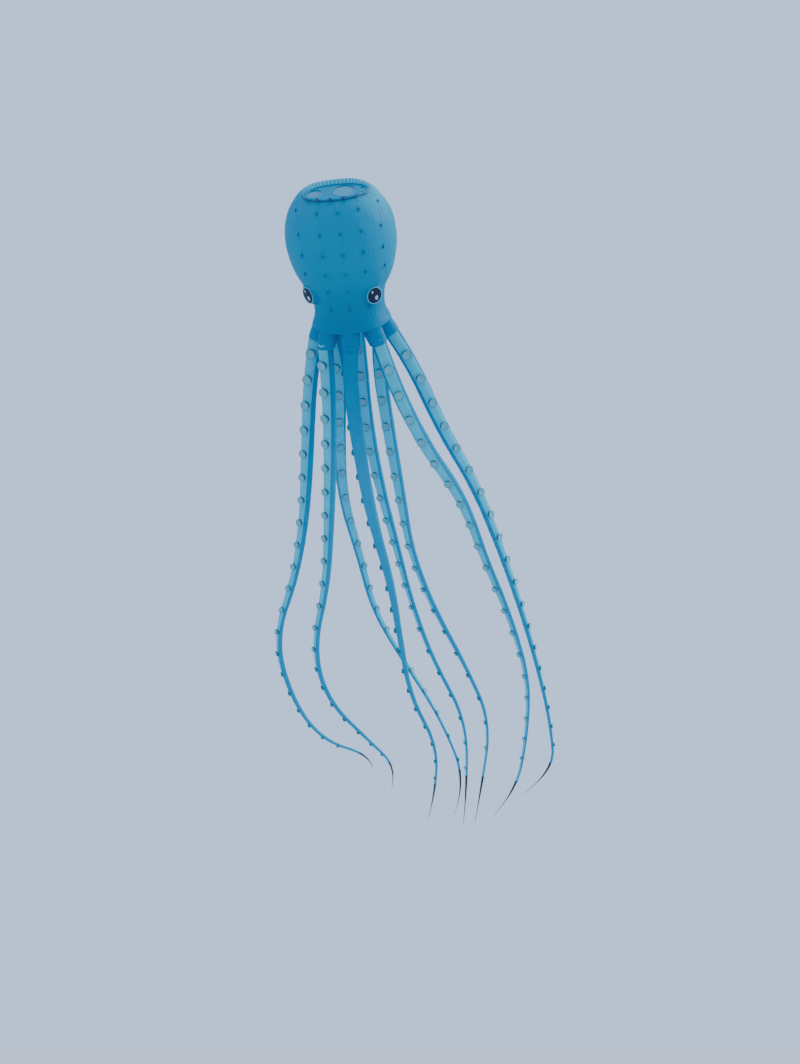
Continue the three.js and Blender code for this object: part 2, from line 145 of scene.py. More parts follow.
def share(name, description, default):
    return bpy.props.FloatProperty(
        name=name, description=description, default=default, min=0, max=1, subtype="FACTOR"
    )


def colour(name, description, default):
    return bpy.props.FloatVectorProperty(
        name=name, description=description, default=default, size=3, min=0, max=4, subtype="COLOR"
    )


class KiteClothSettings(bpy.types.PropertyGroup):
    head: colour("Head", "Ripstop of the head, where light falls on it", (0.0, 0.42, 0.65))
    # The colour below is the head's ripstop in painted shade (towards the neck, near the tentacles' roots,
    # round the eye mounds and in the folds of the gathers), and also the darker patches of its uneven dye.
    dye_and_shade: colour("Deep", "The same ripstop where two layers overlap", (0.0, 0.27, 0.5))
    crest: colour("Crest", "The same ripstop where light comes through a gather", (0.16, 0.9, 1.0))
    pale: colour("Pale", "Thin ripstop of the sucker sides", (0.12, 0.88, 1.0))
    disc: colour("Disc", "Cloth across a sucker's mouth", (0.16, 0.58, 0.7))
    # The wall colour is painted shade: a sucker's wall is made dark because it stands in shade.
    wall: colour("Wall", "Cloth of a sucker's wall", (0.0, 0.15, 0.22))
    net: colour("Net", "Netting of the intake", (0.05, 0.3, 0.46))
    tape: colour("Tape", "Webbing of hems and bridle tabs", (0.0, 0.07, 0.2))
    black: colour("Black", "Cloth of the tips and the eyes", (0.004, 0.012, 0.03))
    glow: share("Glow", "How much light comes through the cloth", 0.35)
    ripstop: length("Ripstop", "Spacing of the thick threads", 0.006)


class KiteHeadSettings(bpy.types.PropertyGroup):
    step: length("Step", "Spacing of the points of a head panel", 0.02)
    pull: length("Pull", "How far a rib pulls its seam in", 0.008)
    puff: length("Puff", "How far the gathered crown stands in front of the intake", 0.22)
    gather: length("Gather", "Depth of the gathers round the intake", 0.03)


class KiteTentacleSettings(bpy.types.PropertyGroup):
    step: length("Step", "Spacing of the rings of a tentacle's skin", 0.045)
    sides: bpy.props.IntProperty(name="Sides", description="Faces round a tentacle", default=38)
    piping: length("Piping", "Radius of the seam along each panel's edge", 0.006)
    crumple: length("Crumple", "Depth of the creases in the skin", 0.004)


class KiteSuckerSettings(bpy.types.PropertyGroup):
    across_root: length("Across, root", "Diameter of a sucker near the root", 0.29)
    across_end: length("Across, end", "Diameter of a sucker near the end", 0.13)
    height: share("Height", "Height of a sucker as a share of its diameter", 0.3)


class KiteStageSettings(bpy.types.PropertyGroup):
    floor: colour("Floor", "Plain pale floor", (0.62, 0.63, 0.64))
    air: colour("Air", "Even light all round", (0.66, 0.9, 1.3))
    sun: bpy.props.FloatProperty(name="Sun", description="Strength of the key light", default=2.4)
    fill: bpy.props.FloatProperty(name="Fill", description="Strength of the fill light", default=0.9)


SETTINGS = {
    "kite_cloth": KiteClothSettings,
    "kite_head": KiteHeadSettings,
    "kite_tentacles": KiteTentacleSettings,
    "kite_suckers": KiteSuckerSettings,
    "kite_stage": KiteStageSettings,
}


# Shapes

def smooth_curve(pairs, at):
    """The value at each place of a smooth curve through (place, value) pairs."""
    x, y = np.array(pairs, float).T
    slope = np.gradient(y, x)
    at = np.clip(at, x[0], x[-1])
    i = np.clip(np.searchsorted(x, at) - 1, 0, len(x) - 2)
    h = x[i + 1] - x[i]
    t = (at - x[i]) / h
    keep, rise = (1 + 2 * t) * (1 - t) ** 2, t * (1 - t) ** 2
    return (
        keep * y[i] + (1 - keep) * y[i + 1] + h * (rise * slope[i] - t * t * (1 - t) * slope[i + 1])
    )


def smoothstep(low, high, x):
    t = np.clip((np.asarray(x, float) - low) / (high - low), 0, 1)
    return t * t * (3 - 2 * t)


def ripples(*fields, seed, size):
    """Soft uneven waves of height 1 over fields in metres, about size across."""
    random = np.random.default_rng(seed)
    total = 0
    for _ in range(9):
        turns = random.normal(0, 2 * math.pi / size / math.sqrt(len(fields)), len(fields))
        phase = random.uniform(0, 2 * math.pi)
        total = total + np.sin(sum(k * f for k, f in zip(turns, fields)) + phase)
    return total / 4.5


HEAD_TURN = np.array(
    Matrix.Rotation(-HEAD_YAW, 3, "Z")
    @ Matrix.Rotation(-HEAD_PITCH, 3, "X")
    @ Matrix.Rotation(-HEAD_ROLL, 3, "Y")
)


def head_radius(station):
    return smooth_curve(HEAD_PROFILE, station)


def belly_depth(station, offset):
    return math.sqrt(float(np.interp(station, *zip(*HEAD_PROFILE))) ** 2 - offset**2)


PULL_TAB = np.array(
    [RIB_WALL / 2, PULL_STATION, TAB_HEIGHT / 2 - belly_depth(PULL_STATION, 0) - TAB_HEIGHT]
)
INTAKE = -HEAD_TURN @ PULL_TAB


def from_head(x, y, z):
    """Points of the head's own frame, in the kite's frame."""
    return np.stack(np.broadcast_arrays(x, y, z), -1) @ HEAD_TURN.T + INTAKE


def on_head(radius, angle, station):
    return from_head(radius * np.sin(angle), station, -radius * np.cos(angle))


def seam_angle(station, offset):
    return np.arcsin(np.clip(offset / head_radius(station), -STEEPEST_SEAM, STEEPEST_SEAM))


def crown_share(angle):
    """How strongly the cloth is gathered round the intake: most on the back and on the right."""
    return np.clip(0.5 - 0.75 * np.cos(angle) + 0.5 * np.sin(angle), 0, 1)


def crown_sweep(station, angle):
    return 29 * angle + 4.5 * station + 0.65 * np.sin(3 * angle)


def head_relief(station, angle, settings):
    """How far the inflated skin stands off the pattern's radius: gathers at the intake and the neck,
    creases on the left shoulder and slow waves all over."""
    back = 0.5 - 0.5 * np.cos(angle)
    right = 0.5 + 0.5 * np.sin(angle)
    ridge = np.abs(np.sin(crown_sweep(station, angle))) ** 0.6 - 0.62
    inward = np.maximum(station, 0)
    gather = settings.gather * (0.2 + 1.1 * crown_share(angle)) * ridge * np.exp(-inward / 0.24)
    pleat = smoothstep(0.5, 1, right) * smoothstep(0.1, 0.5, back)
    pleats = 0.03 * pleat * np.exp(-(((station - 0.3) / 0.27) ** 2))
    pleats = pleats * (np.abs(np.sin(crown_sweep(station, angle) / 2)) ** 0.7 - 0.6)
    left = np.exp(-(((angle + math.pi / 2) / 0.35) ** 2) - ((station - 0.32) / 0.2) ** 2)
    creases = 0.008 * left * np.sin(2 * math.pi * (station / 0.075 + 0.4 * angle))
    neck = 0.003 * np.exp(-(((station - 2.86) / 0.2) ** 2)) * np.sin(52 * angle + np.sin(5 * angle))
    round_it = head_radius(station) * np.stack([np.sin(angle), np.cos(angle)])
    waves = 0.007 * ripples(*round_it, station + 0 * angle, seed=3, size=0.9)
    return gather + pleats + creases + neck + waves


def fill_grid(rows, columns, closed):
    """Quads of a grid of points, and the rows and columns of their corners; closed joins its sides."""
    i, j = np.meshgrid(np.arange(rows - 1), np.arange(columns - (0 if closed else 1)), indexing="ij")
    i, j = i.ravel(), j.ravel()
    return np.stack([i, i, i + 1, i + 1], -1), np.stack([j, j + 1, j + 1, j], -1)


def sew(name, points, inside, uv=None, closed=False, values=None):
    """A piece of cloth from a grid of points, its faces turned away from the points inside.
    uv is the flat pattern in metres, and values are further numbers of each point by name."""
    rows, columns = points.shape[:2]
    down, across = fill_grid(rows, columns, closed)
    corners = down * columns + across % columns
    flat = points.reshape(-1, 3)
    middle = flat[corners].mean(1)
    normal = np.cross(flat[corners[:, 2]] - flat[corners[:, 0]], flat[corners[:, 3]] - flat[corners[:, 1]])
    out = middle - np.broadcast_to(inside, points.shape).reshape(-1, 3)[corners].mean(1)
    if (normal * out).sum() < 0:
        corners, down, across = corners[:, ::-1], down[:, ::-1], across[:, ::-1]
    mesh = bpy.data.meshes.new(name)
    mesh.vertices.add(len(flat))
    mesh.vertices.foreach_set("co", flat.ravel())
    mesh.loops.add(corners.size)
    mesh.loops.foreach_set("vertex_index", corners.ravel())
    mesh.polygons.add(len(corners))
    mesh.polygons.foreach_set("loop_start", np.arange(0, corners.size, 4))
    mesh.polygons.foreach_set("use_smooth", np.ones(len(corners), bool))
    mesh.update(calc_edges=True)
    if uv is not None:
        layer = mesh.uv_layers.new(name="pattern")
        layer.uv.foreach_set("vector", uv[down.ravel(), across.ravel()].ravel())
    for key, value in (values or {}).items():
        add_values(mesh, key, np.broadcast_to(value, points.shape[:2]))
    return link(name, mesh)


def add_values(mesh, key, value):
    mesh.attributes.new(key, "FLOAT", "POINT").data.foreach_set("value", np.ravel(value).astype(float))


def link(name, mesh):
    piece = bpy.data.objects.new(name, mesh)
    bpy.context.scene.collection.objects.link(piece)
    return piece


def from_bmesh(name, shape):
    mesh = bpy.data.meshes.new(name)
    shape.to_mesh(mesh)
    shape.free()
    piece = link(name, mesh)
    smooth_shading(piece)
    return piece


def settle(name, source):
    """A plain mesh piece from an object with modifiers, which is removed."""
    ready = source.evaluated_get(bpy.context.evaluated_depsgraph_get())
    mesh = bpy.data.meshes.new_from_object(ready)
    mesh.name = name
    old = source.data
    bpy.data.objects.remove(source)
    bpy.data.meshes.remove(old)
    if not mesh.polygons:
        raise RuntimeError(f"{name} came out empty")
    return link(name, mesh)


def finish_with(piece, cloth):
    piece.data.materials.clear()
    piece.data.materials.append(FINISHES[cloth])


def fix_to_head(piece, cloth, replaced=None):
    """A piece that moves with the head, and the node that it stands for."""
    finish_with(piece, cloth)
    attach(piece, "head")
    if replaced:
        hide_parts(replaced)


def smooth_shading(piece):
    piece.data.polygons.foreach_set("use_smooth", np.ones(len(piece.data.polygons), bool))


def merge_doubles(piece):
    shape = bmesh.new()
    shape.from_mesh(piece.data)
    bmesh.ops.remove_doubles(shape, verts=shape.verts[:], dist=1e-5)
    shape.to_mesh(piece.data)
    shape.free()


# Geometry Nodes

class NodeTree:
    """A Geometry Nodes tree with named inputs."""

    def __init__(self, name, inputs):
        self.group = bpy.data.node_groups.new(name, "GeometryNodeTree")
        face = self.group.interface
        face.new_socket("Geometry", in_out="INPUT", socket_type="NodeSocketGeometry")
        for label, kind in inputs.items():
            face.new_socket(label, in_out="INPUT", socket_type=kind)
        face.new_socket("Geometry", in_out="OUTPUT", socket_type="NodeSocketGeometry")
        self.given = self.group.nodes.new("NodeGroupInput").outputs
        self.result = self.group.nodes.new("NodeGroupOutput").inputs[0]

    def node(self, kind, settings=None, **values):
        made = self.group.nodes.new(kind)
        for key, value in (settings or {}).items():
            setattr(made, key, value)
        for key, value in values.items():
            socket = made.inputs[key.replace("_", " ")]
            if isinstance(value, bpy.types.NodeSocket):
                self.group.links.new(value, socket)
            else:
                socket.default_value = value
        return made.outputs

    def finish(self, geometry):
        whole = self.node("GeometryNodeRealizeInstances", Geometry=geometry)[0]
        done = self.node("GeometryNodeSetMaterial", Geometry=whole, Material=self.given["Cloth"])[0]
        self.group.links.new(done, self.result)
        return self.group

    @staticmethod
    def run(name, source, group, **inputs):
        """The piece that a tree makes of an object, with the tree's inputs set by their identifiers."""
        modifier = source.modifiers.new("Sewing", "NODES")
        modifier.node_group = group
        for item in group.interface.items_tree:
            if item.in_out == "INPUT" and item.name in inputs:
                modifier[item.identifier] = inputs[item.name]
        return settle(name, source)


def repeat_tree():
    """Sets one piece on every point, turned and sized by the point's own values."""
    tree = NodeTree("Kite repeats", {"Piece": "NodeSocketObject", "Cloth": "NodeSocketMaterial"})
    points = tree.node("GeometryNodeMeshToPoints", Mesh=tree.given["Geometry"])[0]
    piece = tree.node("GeometryNodeObjectInfo", Object=tree.given["Piece"])["Geometry"]
    facing = tree.node("GeometryNodeInputNamedAttribute", {"data_type": "FLOAT_VECTOR"}, Name="facing")
    size = tree.node("GeometryNodeInputNamedAttribute", {"data_type": "FLOAT"}, Name="size")
    copies = tree.node(
        "GeometryNodeInstanceOnPoints", Points=points, Instance=piece, Rotation=facing[0], Scale=size[0]
    )
    return tree.finish(copies[0])


def piping_tree():
    """Sews a round cord of piping along every line of edges."""
    tree = NodeTree(
        "Kite piping",
        {"Radius": "NodeSocketFloat", "Sides": "NodeSocketInt", "Cloth": "NodeSocketMaterial"},
    )
    line = tree.node("GeometryNodeMeshToCurve", Mesh=tree.given["Geometry"])[0]
    ring = tree.node(
        "GeometryNodeCurvePrimitiveCircle", Resolution=tree.given["Sides"], Radius=tree.given["Radius"]
    )[0]
    cord = tree.node("GeometryNodeCurveToMesh", Curve=line, Profile_Curve=ring, Fill_Caps=True)[0]
    soft = tree.node("GeometryNodeSetShadeSmooth", Geometry=cord)[0]
    return tree.finish(soft)


def repeats(name, piece, places, axes, sizes, cloth):
    """Copies of a piece at places, each turned by a (right, along, out) frame and sized."""
    mesh = bpy.data.meshes.new(name)
    mesh.from_pydata([tuple(p) for p in places], [], [])
    turns = [Matrix([tuple(a) for a in frame_axes]).transposed().to_euler() for frame_axes in axes]
    facing = mesh.attributes.new("facing", "FLOAT_VECTOR", "POINT")
    facing.data.foreach_set("vector", np.array([tuple(t) for t in turns], float).ravel())
    add_values(mesh, "size", sizes)
    return NodeTree.run(name, link(name, mesh), TREES["repeat"], Piece=piece, Cloth=FINISHES[cloth])


def piping(name, lines, radius, cloth="seam", closed=False):
    """Piping along lists of points."""
    mesh = bpy.data.meshes.new(name)
    starts = np.cumsum([0] + [len(line) for line in lines])
    edges = [
        (int(a + i), int(a + (i + 1) % len(line)))
        for a, line in zip(starts, lines)
        for i in range(len(line) if closed else len(line) - 1)
    ]
    mesh.from_pydata([tuple(p) for line in lines for p in line], edges, [])
    return NodeTree.run(
        name, link(name, mesh), TREES["piping"], Radius=radius, Sides=6, Cloth=FINISHES[cloth]
    )


TREES = {}


# Finishes

class Wire:
    """A shader socket that takes part in sums: each operator adds its Math node."""

    def __init__(self, finish, socket):
        self.finish, self.socket = finish, socket

    def _sum(self, operation, a, b):
        return self.finish.node("ShaderNodeMath", {"operation": operation}, {0: a, 1: b})

    def __add__(self, other):
        return self._sum("ADD", self, other)

    def __sub__(self, other):
        return self._sum("SUBTRACT", self, other)

    def __rsub__(self, other):
        return self._sum("SUBTRACT", other, self)

    def __mul__(self, other):
        return self._sum("MULTIPLY", self, other)

    def __truediv__(self, other):
        return self._sum("DIVIDE", self, other)

    def at_most(self, other):
        return self._sum("MINIMUM", self, other)

    def at_least(self, other):
        return self._sum("MAXIMUM", self, other)

    __radd__ = __add__
    __rmul__ = __mul__


class Finish:
    """A material that is being made."""

    def __init__(self, name):
        self.material = bpy.data.materials.new(name)
        self.material.use_nodes = True
        self.tree = self.material.node_tree
        self.tree.nodes.clear()

    def node(self, kind, settings=None, values=None, output=0):
        made = self.tree.nodes.new(kind)
        for key, value in (settings or {}).items():
            setattr(made, key, value)
        for key, value in (values or {}).items():
            socket = made.inputs[key]
            if isinstance(value, Wire):
                self.tree.links.new(value.socket, socket)
            elif socket.type == "RGBA" and len(value) == 3:
                socket.default_value = (*value, 1)
            else:
                socket.default_value = value
        return Wire(self, made.outputs[output])

    def mix(self, factor, a, b):
        """A colour between two, by a factor."""
        return self.node("ShaderNodeMix", {"data_type": "RGBA"}, {0: factor, 6: a, 7: b}, 2)

    def noise(self, place, scale, detail=3, rough=0.55):
        values = {"Vector": place, "Scale": scale, "Detail": detail, "Roughness": rough}
        return self.node("ShaderNodeTexNoise", None, values)

    def value_of(self, attribute):
        return self.node("ShaderNodeAttribute", {"attribute_name": attribute}, None, "Fac")

    def threads(self, coordinate, pitch, width):
        """1 on a thick thread and 0 between two, along one coordinate in metres."""
        far = self.node("ShaderNodeMath", {"operation": "PINGPONG"}, {0: coordinate, 1: pitch / 2})
        return 1 - (far / width).at_most(1.0)

    def out(self, shader):
        self.node_output = self.tree.nodes.new("ShaderNodeOutputMaterial")
        self.tree.links.new(shader.socket, self.node_output.inputs["Surface"])
        return self.material


def cloth_finish(
    name, light, dye_and_shade, settings, glow=None, rough=0.5, painted_shade=None, crest=None, crinkle=0.012, on_pattern=True
):
    """Ripstop: thick threads in a grid, crinkles, uneven dye, light coming through, and painted shade, a
    deeper colour where the given shade attribute says so."""
    cloth = Finish(name)
    place = cloth.node("ShaderNodeTexCoord", None, None, "Object")
    weave = cloth.node("ShaderNodeTexCoord", None, None, "UV") if on_pattern else place
    split = cloth.node("ShaderNodeSeparateXYZ", None, {0: weave})
    second = Wire(cloth, split.socket.node.outputs[1 if on_pattern else 2])
    pitch = settings.ripstop
    grid = cloth.threads(split, pitch, pitch / 9).at_least(cloth.threads(second, pitch, pitch / 9))
    fold = cloth.noise(place, 2.6, 5, 0.6)
    fine = cloth.noise(place, 21, 3, 0.6)
    height = grid * 0.00025 + fold * crinkle + fine * (crinkle / 9)
    bump = cloth.node("ShaderNodeBump", None, {"Height": height, "Strength": 0.75, "Distance": 1.0})
    patchy = (cloth.noise(place, 0.9, 2) - 0.42) * 0.4
    amount = (patchy + grid * 0.12).at_least(0).at_most(1)
    if painted_shade:
        amount = (amount * 0.5 + cloth.value_of(painted_shade)).at_most(1)
    paint = cloth.mix(amount, light, dye_and_shade)
    if crest:
        paint = cloth.mix(cloth.value_of(crest), paint, settings.crest)
    values = {
        "Base Color": paint, "Roughness": rough + 0.1 * cloth.noise(place, 6),
        "Normal": bump, "Specular IOR Level": 0.12,
    }
    face = cloth.node("ShaderNodeBsdfPrincipled", None, values)
    through = cloth.node("ShaderNodeBsdfTranslucent", None, {"Color": light, "Normal": bump})
    factor = settings.glow if glow is None else glow
    return cloth.out(cloth.node("ShaderNodeMixShader", None, {0: factor, 1: face, 2: through}))


def cup_finish(name, settings):
    """A sucker: a wall in painted shade, and a thin disc of cloth that its attribute marks."""
    cup = Finish(name)
    place = cup.node("ShaderNodeTexCoord", None, None, "Object")
    disc = cup.value_of("disc")
    uneven = (cup.noise(place, 4) - 0.4).at_least(0).at_most(1)
    paint = cup.mix(disc, settings.wall, cup.mix(uneven, settings.disc, settings.pale))
    height = cup.noise(place, 30, 4) * 0.004 + cup.noise(place, 7) * 0.01
    bump = cup.node("ShaderNodeBump", None, {"Height": height, "Strength": 0.6, "Distance": 1.0})
    values = {"Base Color": paint, "Roughness": 0.55 - 0.1 * disc, "Normal": bump, "Sheen Weight": 0.1}
    face = cup.node("ShaderNodeBsdfPrincipled", None, values)
    through = cup.node("ShaderNodeBsdfTranslucent", None, {"Color": settings.disc, "Normal": bump})
    return cup.out(cup.node("ShaderNodeMixShader", None, {0: 0.25 * disc, 1: face, 2: through}))


def tape_finish(name, light, rough=0.6, thread=0.0015):
    """Woven webbing or plain black cloth: fine ribs across, and wear that lightens it."""
    tape = Finish(name)
    place = tape.node("ShaderNodeTexCoord", None, None, "Object")
    split = tape.node("ShaderNodeSeparateXYZ", None, {0: place})
    second = Wire(tape, split.socket.node.outputs[1])
    ribs = tape.threads(split + second, thread, thread / 3)
    worn = (tape.noise(place, 12, 5) - 0.45).at_least(0)
    paint = tape.mix((worn * 0.7 + ribs * 0.08).at_most(1), light, tuple(0.75 * c + 0.1 for c in light))
    height = ribs * 0.0003 + tape.noise(place, 9, 4) * 0.008
    bump = tape.node("ShaderNodeBump", None, {"Height": height, "Strength": 0.7, "Distance": 1.0})
    values = {"Base Color": paint, "Roughness": rough - 0.15 * worn, "Normal": bump, "Sheen Weight": 0.2}
    return tape.out(tape.node("ShaderNodeBsdfPrincipled", None, values))


def net_finish(name, settings):
    """Fine netting that the inside of the head shows through."""
    net = Finish(name)
    place = net.node("ShaderNodeTexCoord", None, None, "UV")
    split = net.node("ShaderNodeSeparateXYZ", None, {0: place})
    second = Wire(net, split.socket.node.outputs[1])
    cord = net.threads(split, 0.012, 0.0035).at_least(net.threads(second, 0.012, 0.0035))
    solid = (cord * 0.4 + 0.8 + 0.3 * (net.noise(place, 5) - 0.5)).at_most(1)
    values = {"Base Color": settings.net, "Roughness": 0.6, "Alpha": solid}
    return net.out(net.node("ShaderNodeBsdfPrincipled", None, values))


def enamel_finish(name, light, rough):
    """Smooth coated cloth of the eyes, faintly creased."""
    coat = Finish(name)
    place = coat.node("ShaderNodeTexCoord", None, None, "Object")
    height = coat.noise(place, 11, 4) * 0.006
    bump = coat.node("ShaderNodeBump", None, {"Height": height, "Strength": 0.5, "Distance": 1.0})
    worn = coat.noise(place, 20, 5)
    paint = coat.mix(worn * 0.25, light, tuple(0.8 * c + 0.03 for c in light))
    values = {
        "Base Color": paint, "Roughness": rough + 0.2 * worn, "Normal": bump, "Specular IOR Level": 0.25,
    }
    return coat.out(coat.node("ShaderNodeBsdfPrincipled", None, values))


FINISHES = {}


def make_finishes(s):
    """Every finish, from the settings of the cloth."""
    head, dye_and_shade, pale = tuple(s.head), tuple(s.dye_and_shade), tuple(s.pale)
    FINISHES.update(
        head=cloth_finish("head_ripstop", head, dye_and_shade, s, painted_shade="painted_shade", crest="crest"),
        collar=cloth_finish("collar_ripstop", head, dye_and_shade, s, painted_shade="painted_shade", on_pattern=False),
        back=cloth_finish("tentacle_back_ripstop", head, dye_and_shade, s, painted_shade="painted_shade"),
        pale=cloth_finish("sucker_side_ripstop", pale, head, s, glow=0.45, painted_shade="painted_shade", crinkle=0.008),
        cup=cup_finish("sucker_cloth", s),
        tape=tape_finish("navy_webbing", tuple(s.tape)),
        seam=cloth_finish("seam_tape", head, dye_and_shade, s, glow=0.1, on_pattern=False),
        rib=cloth_finish("rib_ripstop", head, pale, s, on_pattern=False),
        black=tape_finish("black_cloth", tuple(s.black)),
        eye=enamel_finish("eye_black", (0.0, 0.012, 0.05), 0.45),
        white=enamel_finish("eye_white", (0.45, 0.62, 0.68), 0.4),
        rim=enamel_finish("eye_rim", (0.16, 0.6, 0.74), 0.5),
        net=net_finish("intake_net", s),
    )


# The head

def head_panels():
    """Name, left and right edge as functions of the station, and the ribs that it is sewn to."""
    outer = RIB_OFFSETS[-1]
    panels = [
        (
            f"belly_panel_{i + 1}",
            lambda s, a=a: seam_angle(s, a),
            lambda s, b=b: seam_angle(s, b),
            [f"rib_{i + 1}", f"rib_{i + 2}"],
        )
        for i, (a, b) in enumerate(zip(RIB_OFFSETS, RIB_OFFSETS[1:]))
    ]
    side = (lambda s: seam_angle(s, outer)), (lambda s: math.pi - seam_angle(s, outer))
    panels.append(("side_panel_right", *side, ["rib_5"]))
    panels.append(("side_panel_left", lambda s: -side[1](s), lambda s: -side[0](s), ["rib_1"]))
    panels.append(("back_panel", side[1], lambda s: 2 * math.pi - side[1](s), ["rib_2", "rib_3", "rib_4"]))
    return panels


def head_crest(station, angle):
    """Painted highlight: how bright the head's colour is along the top of each gather round the intake."""
    top = np.abs(np.sin(crown_sweep(station, angle))) ** 2
    far = np.exp(-((np.maximum(station - 0.08, 0) / 0.26) ** 2))
    return np.clip(crown_share(angle) * far * (0.25 + 0.75 * top), 0, 1)


def skin_point(station, angle, settings, from_seam=1.0, lift=0.0):
    pull = settings.pull * np.exp(-np.asarray(from_seam) / 0.1)
    radius = head_radius(station) + head_relief(station, angle, settings) - pull + lift
    crown = np.clip(0.3 - 0.8 * np.cos(angle), 0, 1)
    along = np.maximum(station, 0) / 0.085
    return on_head(radius, angle, station - settings.puff * crown * along * np.exp(1 - along))


def head_painted_shade(station, angle):
    """Painted shade, how deep the head's colour is: towards the neck on the belly side, and in the crown's
    folds.
    """
    front = 0.5 + 0.5 * np.cos(angle)
    fold = np.abs(np.sin(crown_sweep(station, angle)))
    folds = 1.1 * crown_share(angle) * (1 - fold) ** 2 * np.exp(-np.maximum(station, 0) / 0.28)
    return folds + 0.85 * smoothstep(1.0, 3.7, station) * (0.3 + 0.7 * front) + 0.1 * front


def make_head_panel(name, left, right, ribs, settings):
    stations = np.arange(-0.008, COLLAR_SEAM + 0.012, settings.step)[:, None]
    widest = float((head_radius(stations) * (right(stations) - left(stations))).max())
    across = np.linspace(0, 1, math.ceil(widest / settings.step) + 1)[None]
    a, b = left(stations), right(stations)
    angle = a + (b - a) * across
    width = head_radius(stations) * (b - a)
    from_seam = np.minimum(across, 1 - across) * width
    points = skin_point(stations, angle, settings, from_seam)
    slant = np.hypot(1, np.gradient(head_radius(stations[:, 0]), stations[:, 0]))
    run = np.concatenate([[0], np.cumsum(slant[1:] * np.diff(stations[:, 0]))])
    flat_u = (across - 0.5) * width
    uv = np.stack(np.broadcast_arrays(flat_u, run[:, None]), -1)
    # Painted shade, and a little darker along the panel's seams.
    painted_shade = head_painted_shade(stations, angle) + 0.12 * np.exp(-((from_seam / 0.012) ** 2))
    axis = from_head(0, stations, 0)
    values = {"painted_shade": np.clip(painted_shade, 0, 1), "crest": head_crest(stations, angle)}
    panel = sew(name, points, axis, uv=uv, values=values)
    fix_to_head(panel, "head", name)


class KITE_OT_head_skin(bpy.types.Operator):
    """Sew the seven panels of the head and tape their seams"""

    bl_idname = "kite.head_skin"
    bl_label = "Head skin"

    def execute(self, context):
        settings = context.scene.kite_head
        for panel in head_panels():
            make_head_panel(*panel, settings)
        stations = np.arange(0.01, COLLAR_SEAM, 0.04)
        seams = [panel[1] for panel in head_panels()]
        lines = [skin_point(stations, seam(stations), settings, 0.0, 0.001) for seam in seams]
        fix_to_head(piping("head_seams", lines, 0.005), "seam")
        return {"FINISHED"}


def rounded_plate(name, width, height, wall, steps=5):
    """A folded tab of webbing that stands on its lower edge: a loop of tape, round at its top."""
    shape = bmesh.new()
    outline = [(-width / 2, 0), (width / 2, 0)]
    corner = width / 5
    for sign, start in ((1, 0), (-1, math.pi / 2)):
        for k in range(steps):
            angle = start + math.pi / 2 * k / (steps - 1)
            centre = (sign * (width / 2 - corner), height - corner)
            outline.append((centre[0] + corner * math.cos(angle), centre[1] + corner * math.sin(angle)))
    faces = [
        [shape.verts.new((x, side * wall / 2, z)) for x, z in outline] for side in (-1, 1)
    ]
    shape.faces.new(faces[0])
    shape.faces.new(faces[1][::-1])
    for i in range(len(outline)):
        j = (i + 1) % len(outline)
        shape.faces.new((faces[0][j], faces[0][i], faces[1][i], faces[1][j]))
    bmesh.ops.bevel(
        shape, geom=shape.edges[:], offset=wall / 4, segments=2, affect="EDGES", profile=0.5
    )
    bmesh.ops.recalc_face_normals(shape, faces=shape.faces[:])
    return from_bmesh(name, shape)


def mound_distance(side, station, offset):
    centre = EYE_STATIONS[side]
    across = (seam_angle(station, offset) - EYE_ANGLES[side]) * head_radius(centre)
    return math.hypot(across, station - centre)


def rib_tabs():
    """Station and offset of every bridle tab."""
    for offset in RIB_OFFSETS:
        outer = abs(offset) == max(RIB_OFFSETS)
        for station in TAB_STATIONS[: TABS_ON_OUTER_RIB if outer else None]:
            nearest = min(mound_distance(side, station, offset) for side in EYE_ANGLES)
            if nearest > MOUND_RADIUS + TAB_TO_MOUND:
                yield station, offset


class KITE_OT_bridle_tabs(bpy.types.Operator):
    """Sew the webbing tabs on the belly's seams"""

    bl_idname = "kite.bridle_tabs"
    bl_label = "Bridle tabs"

    def execute(self, context):
        places = [from_head(offset, s, TAB_SINK - belly_depth(s, offset)) for s, offset in rib_tabs()]
        across, along, up = HEAD_TURN.T
        axes = [(along, across, -up)] * len(places)
        tab = rounded_plate("tab_pattern", TAB_WIDTH + 0.006, TAB_HEIGHT + 0.024, TAB_WALL)
        tabs = repeats("bridle_tabs", tab, places, axes, np.ones(len(places)), "tape")
        bpy.data.objects.remove(tab)
        fix_to_head(tabs, "tape")
        return {"FINISHED"}


class KITE_OT_intake(bpy.types.Operator):
    """Make the frilled hem, the crossing strips and the net of the intake"""

    bl_idname = "kite.intake"
    bl_label = "Intake"

    def execute(self, context):
        rim = HEAD_PROFILE[0][1]
        make_hem(rim)
        inner = rim - HEM_WALL - 0.001
        make_strips(inner)
        make_net(inner)
        make_draw_tape(rim)
        return {"FINISHED"}


def make_hem(rim):
    """The folded band round the intake, frilled most at the back."""
    angle = np.linspace(0, 2 * math.pi, 480, endpoint=False)
    turns = np.linspace(0, 2 * math.pi, 14, endpoint=False)[:, None]
    back = 0.5 - 0.5 * np.cos(angle)
    frill = (0.35 + 0.65 * back) * np.sin(58 * angle + 1.5 * np.sin(5 * angle))
    radius = rim - HEM_WALL / 2 + HEM_WALL * 0.75 * np.cos(turns)
    radius = radius + frill * 0.012 * (0.5 - 0.5 * np.sin(turns))
    depth = -HEM_DEPTH / 2 + (HEM_DEPTH / 2 + 0.004) * np.sin(turns) + 0.006 * frill * np.cos(turns)
    points = on_head(radius, angle, depth).transpose(1, 0, 2)
    middle = on_head(rim - HEM_WALL / 2, angle, -HEM_DEPTH / 2)
    hem = sew("intake_hem_roll", points, middle[:, None], closed=True)
    join_ends(hem, len(angle), len(turns))
    smooth_shading(hem)
    add_values(hem.data, "painted_shade", np.zeros(len(hem.data.vertices)))
    fix_to_head(hem, "collar", "intake_hem")


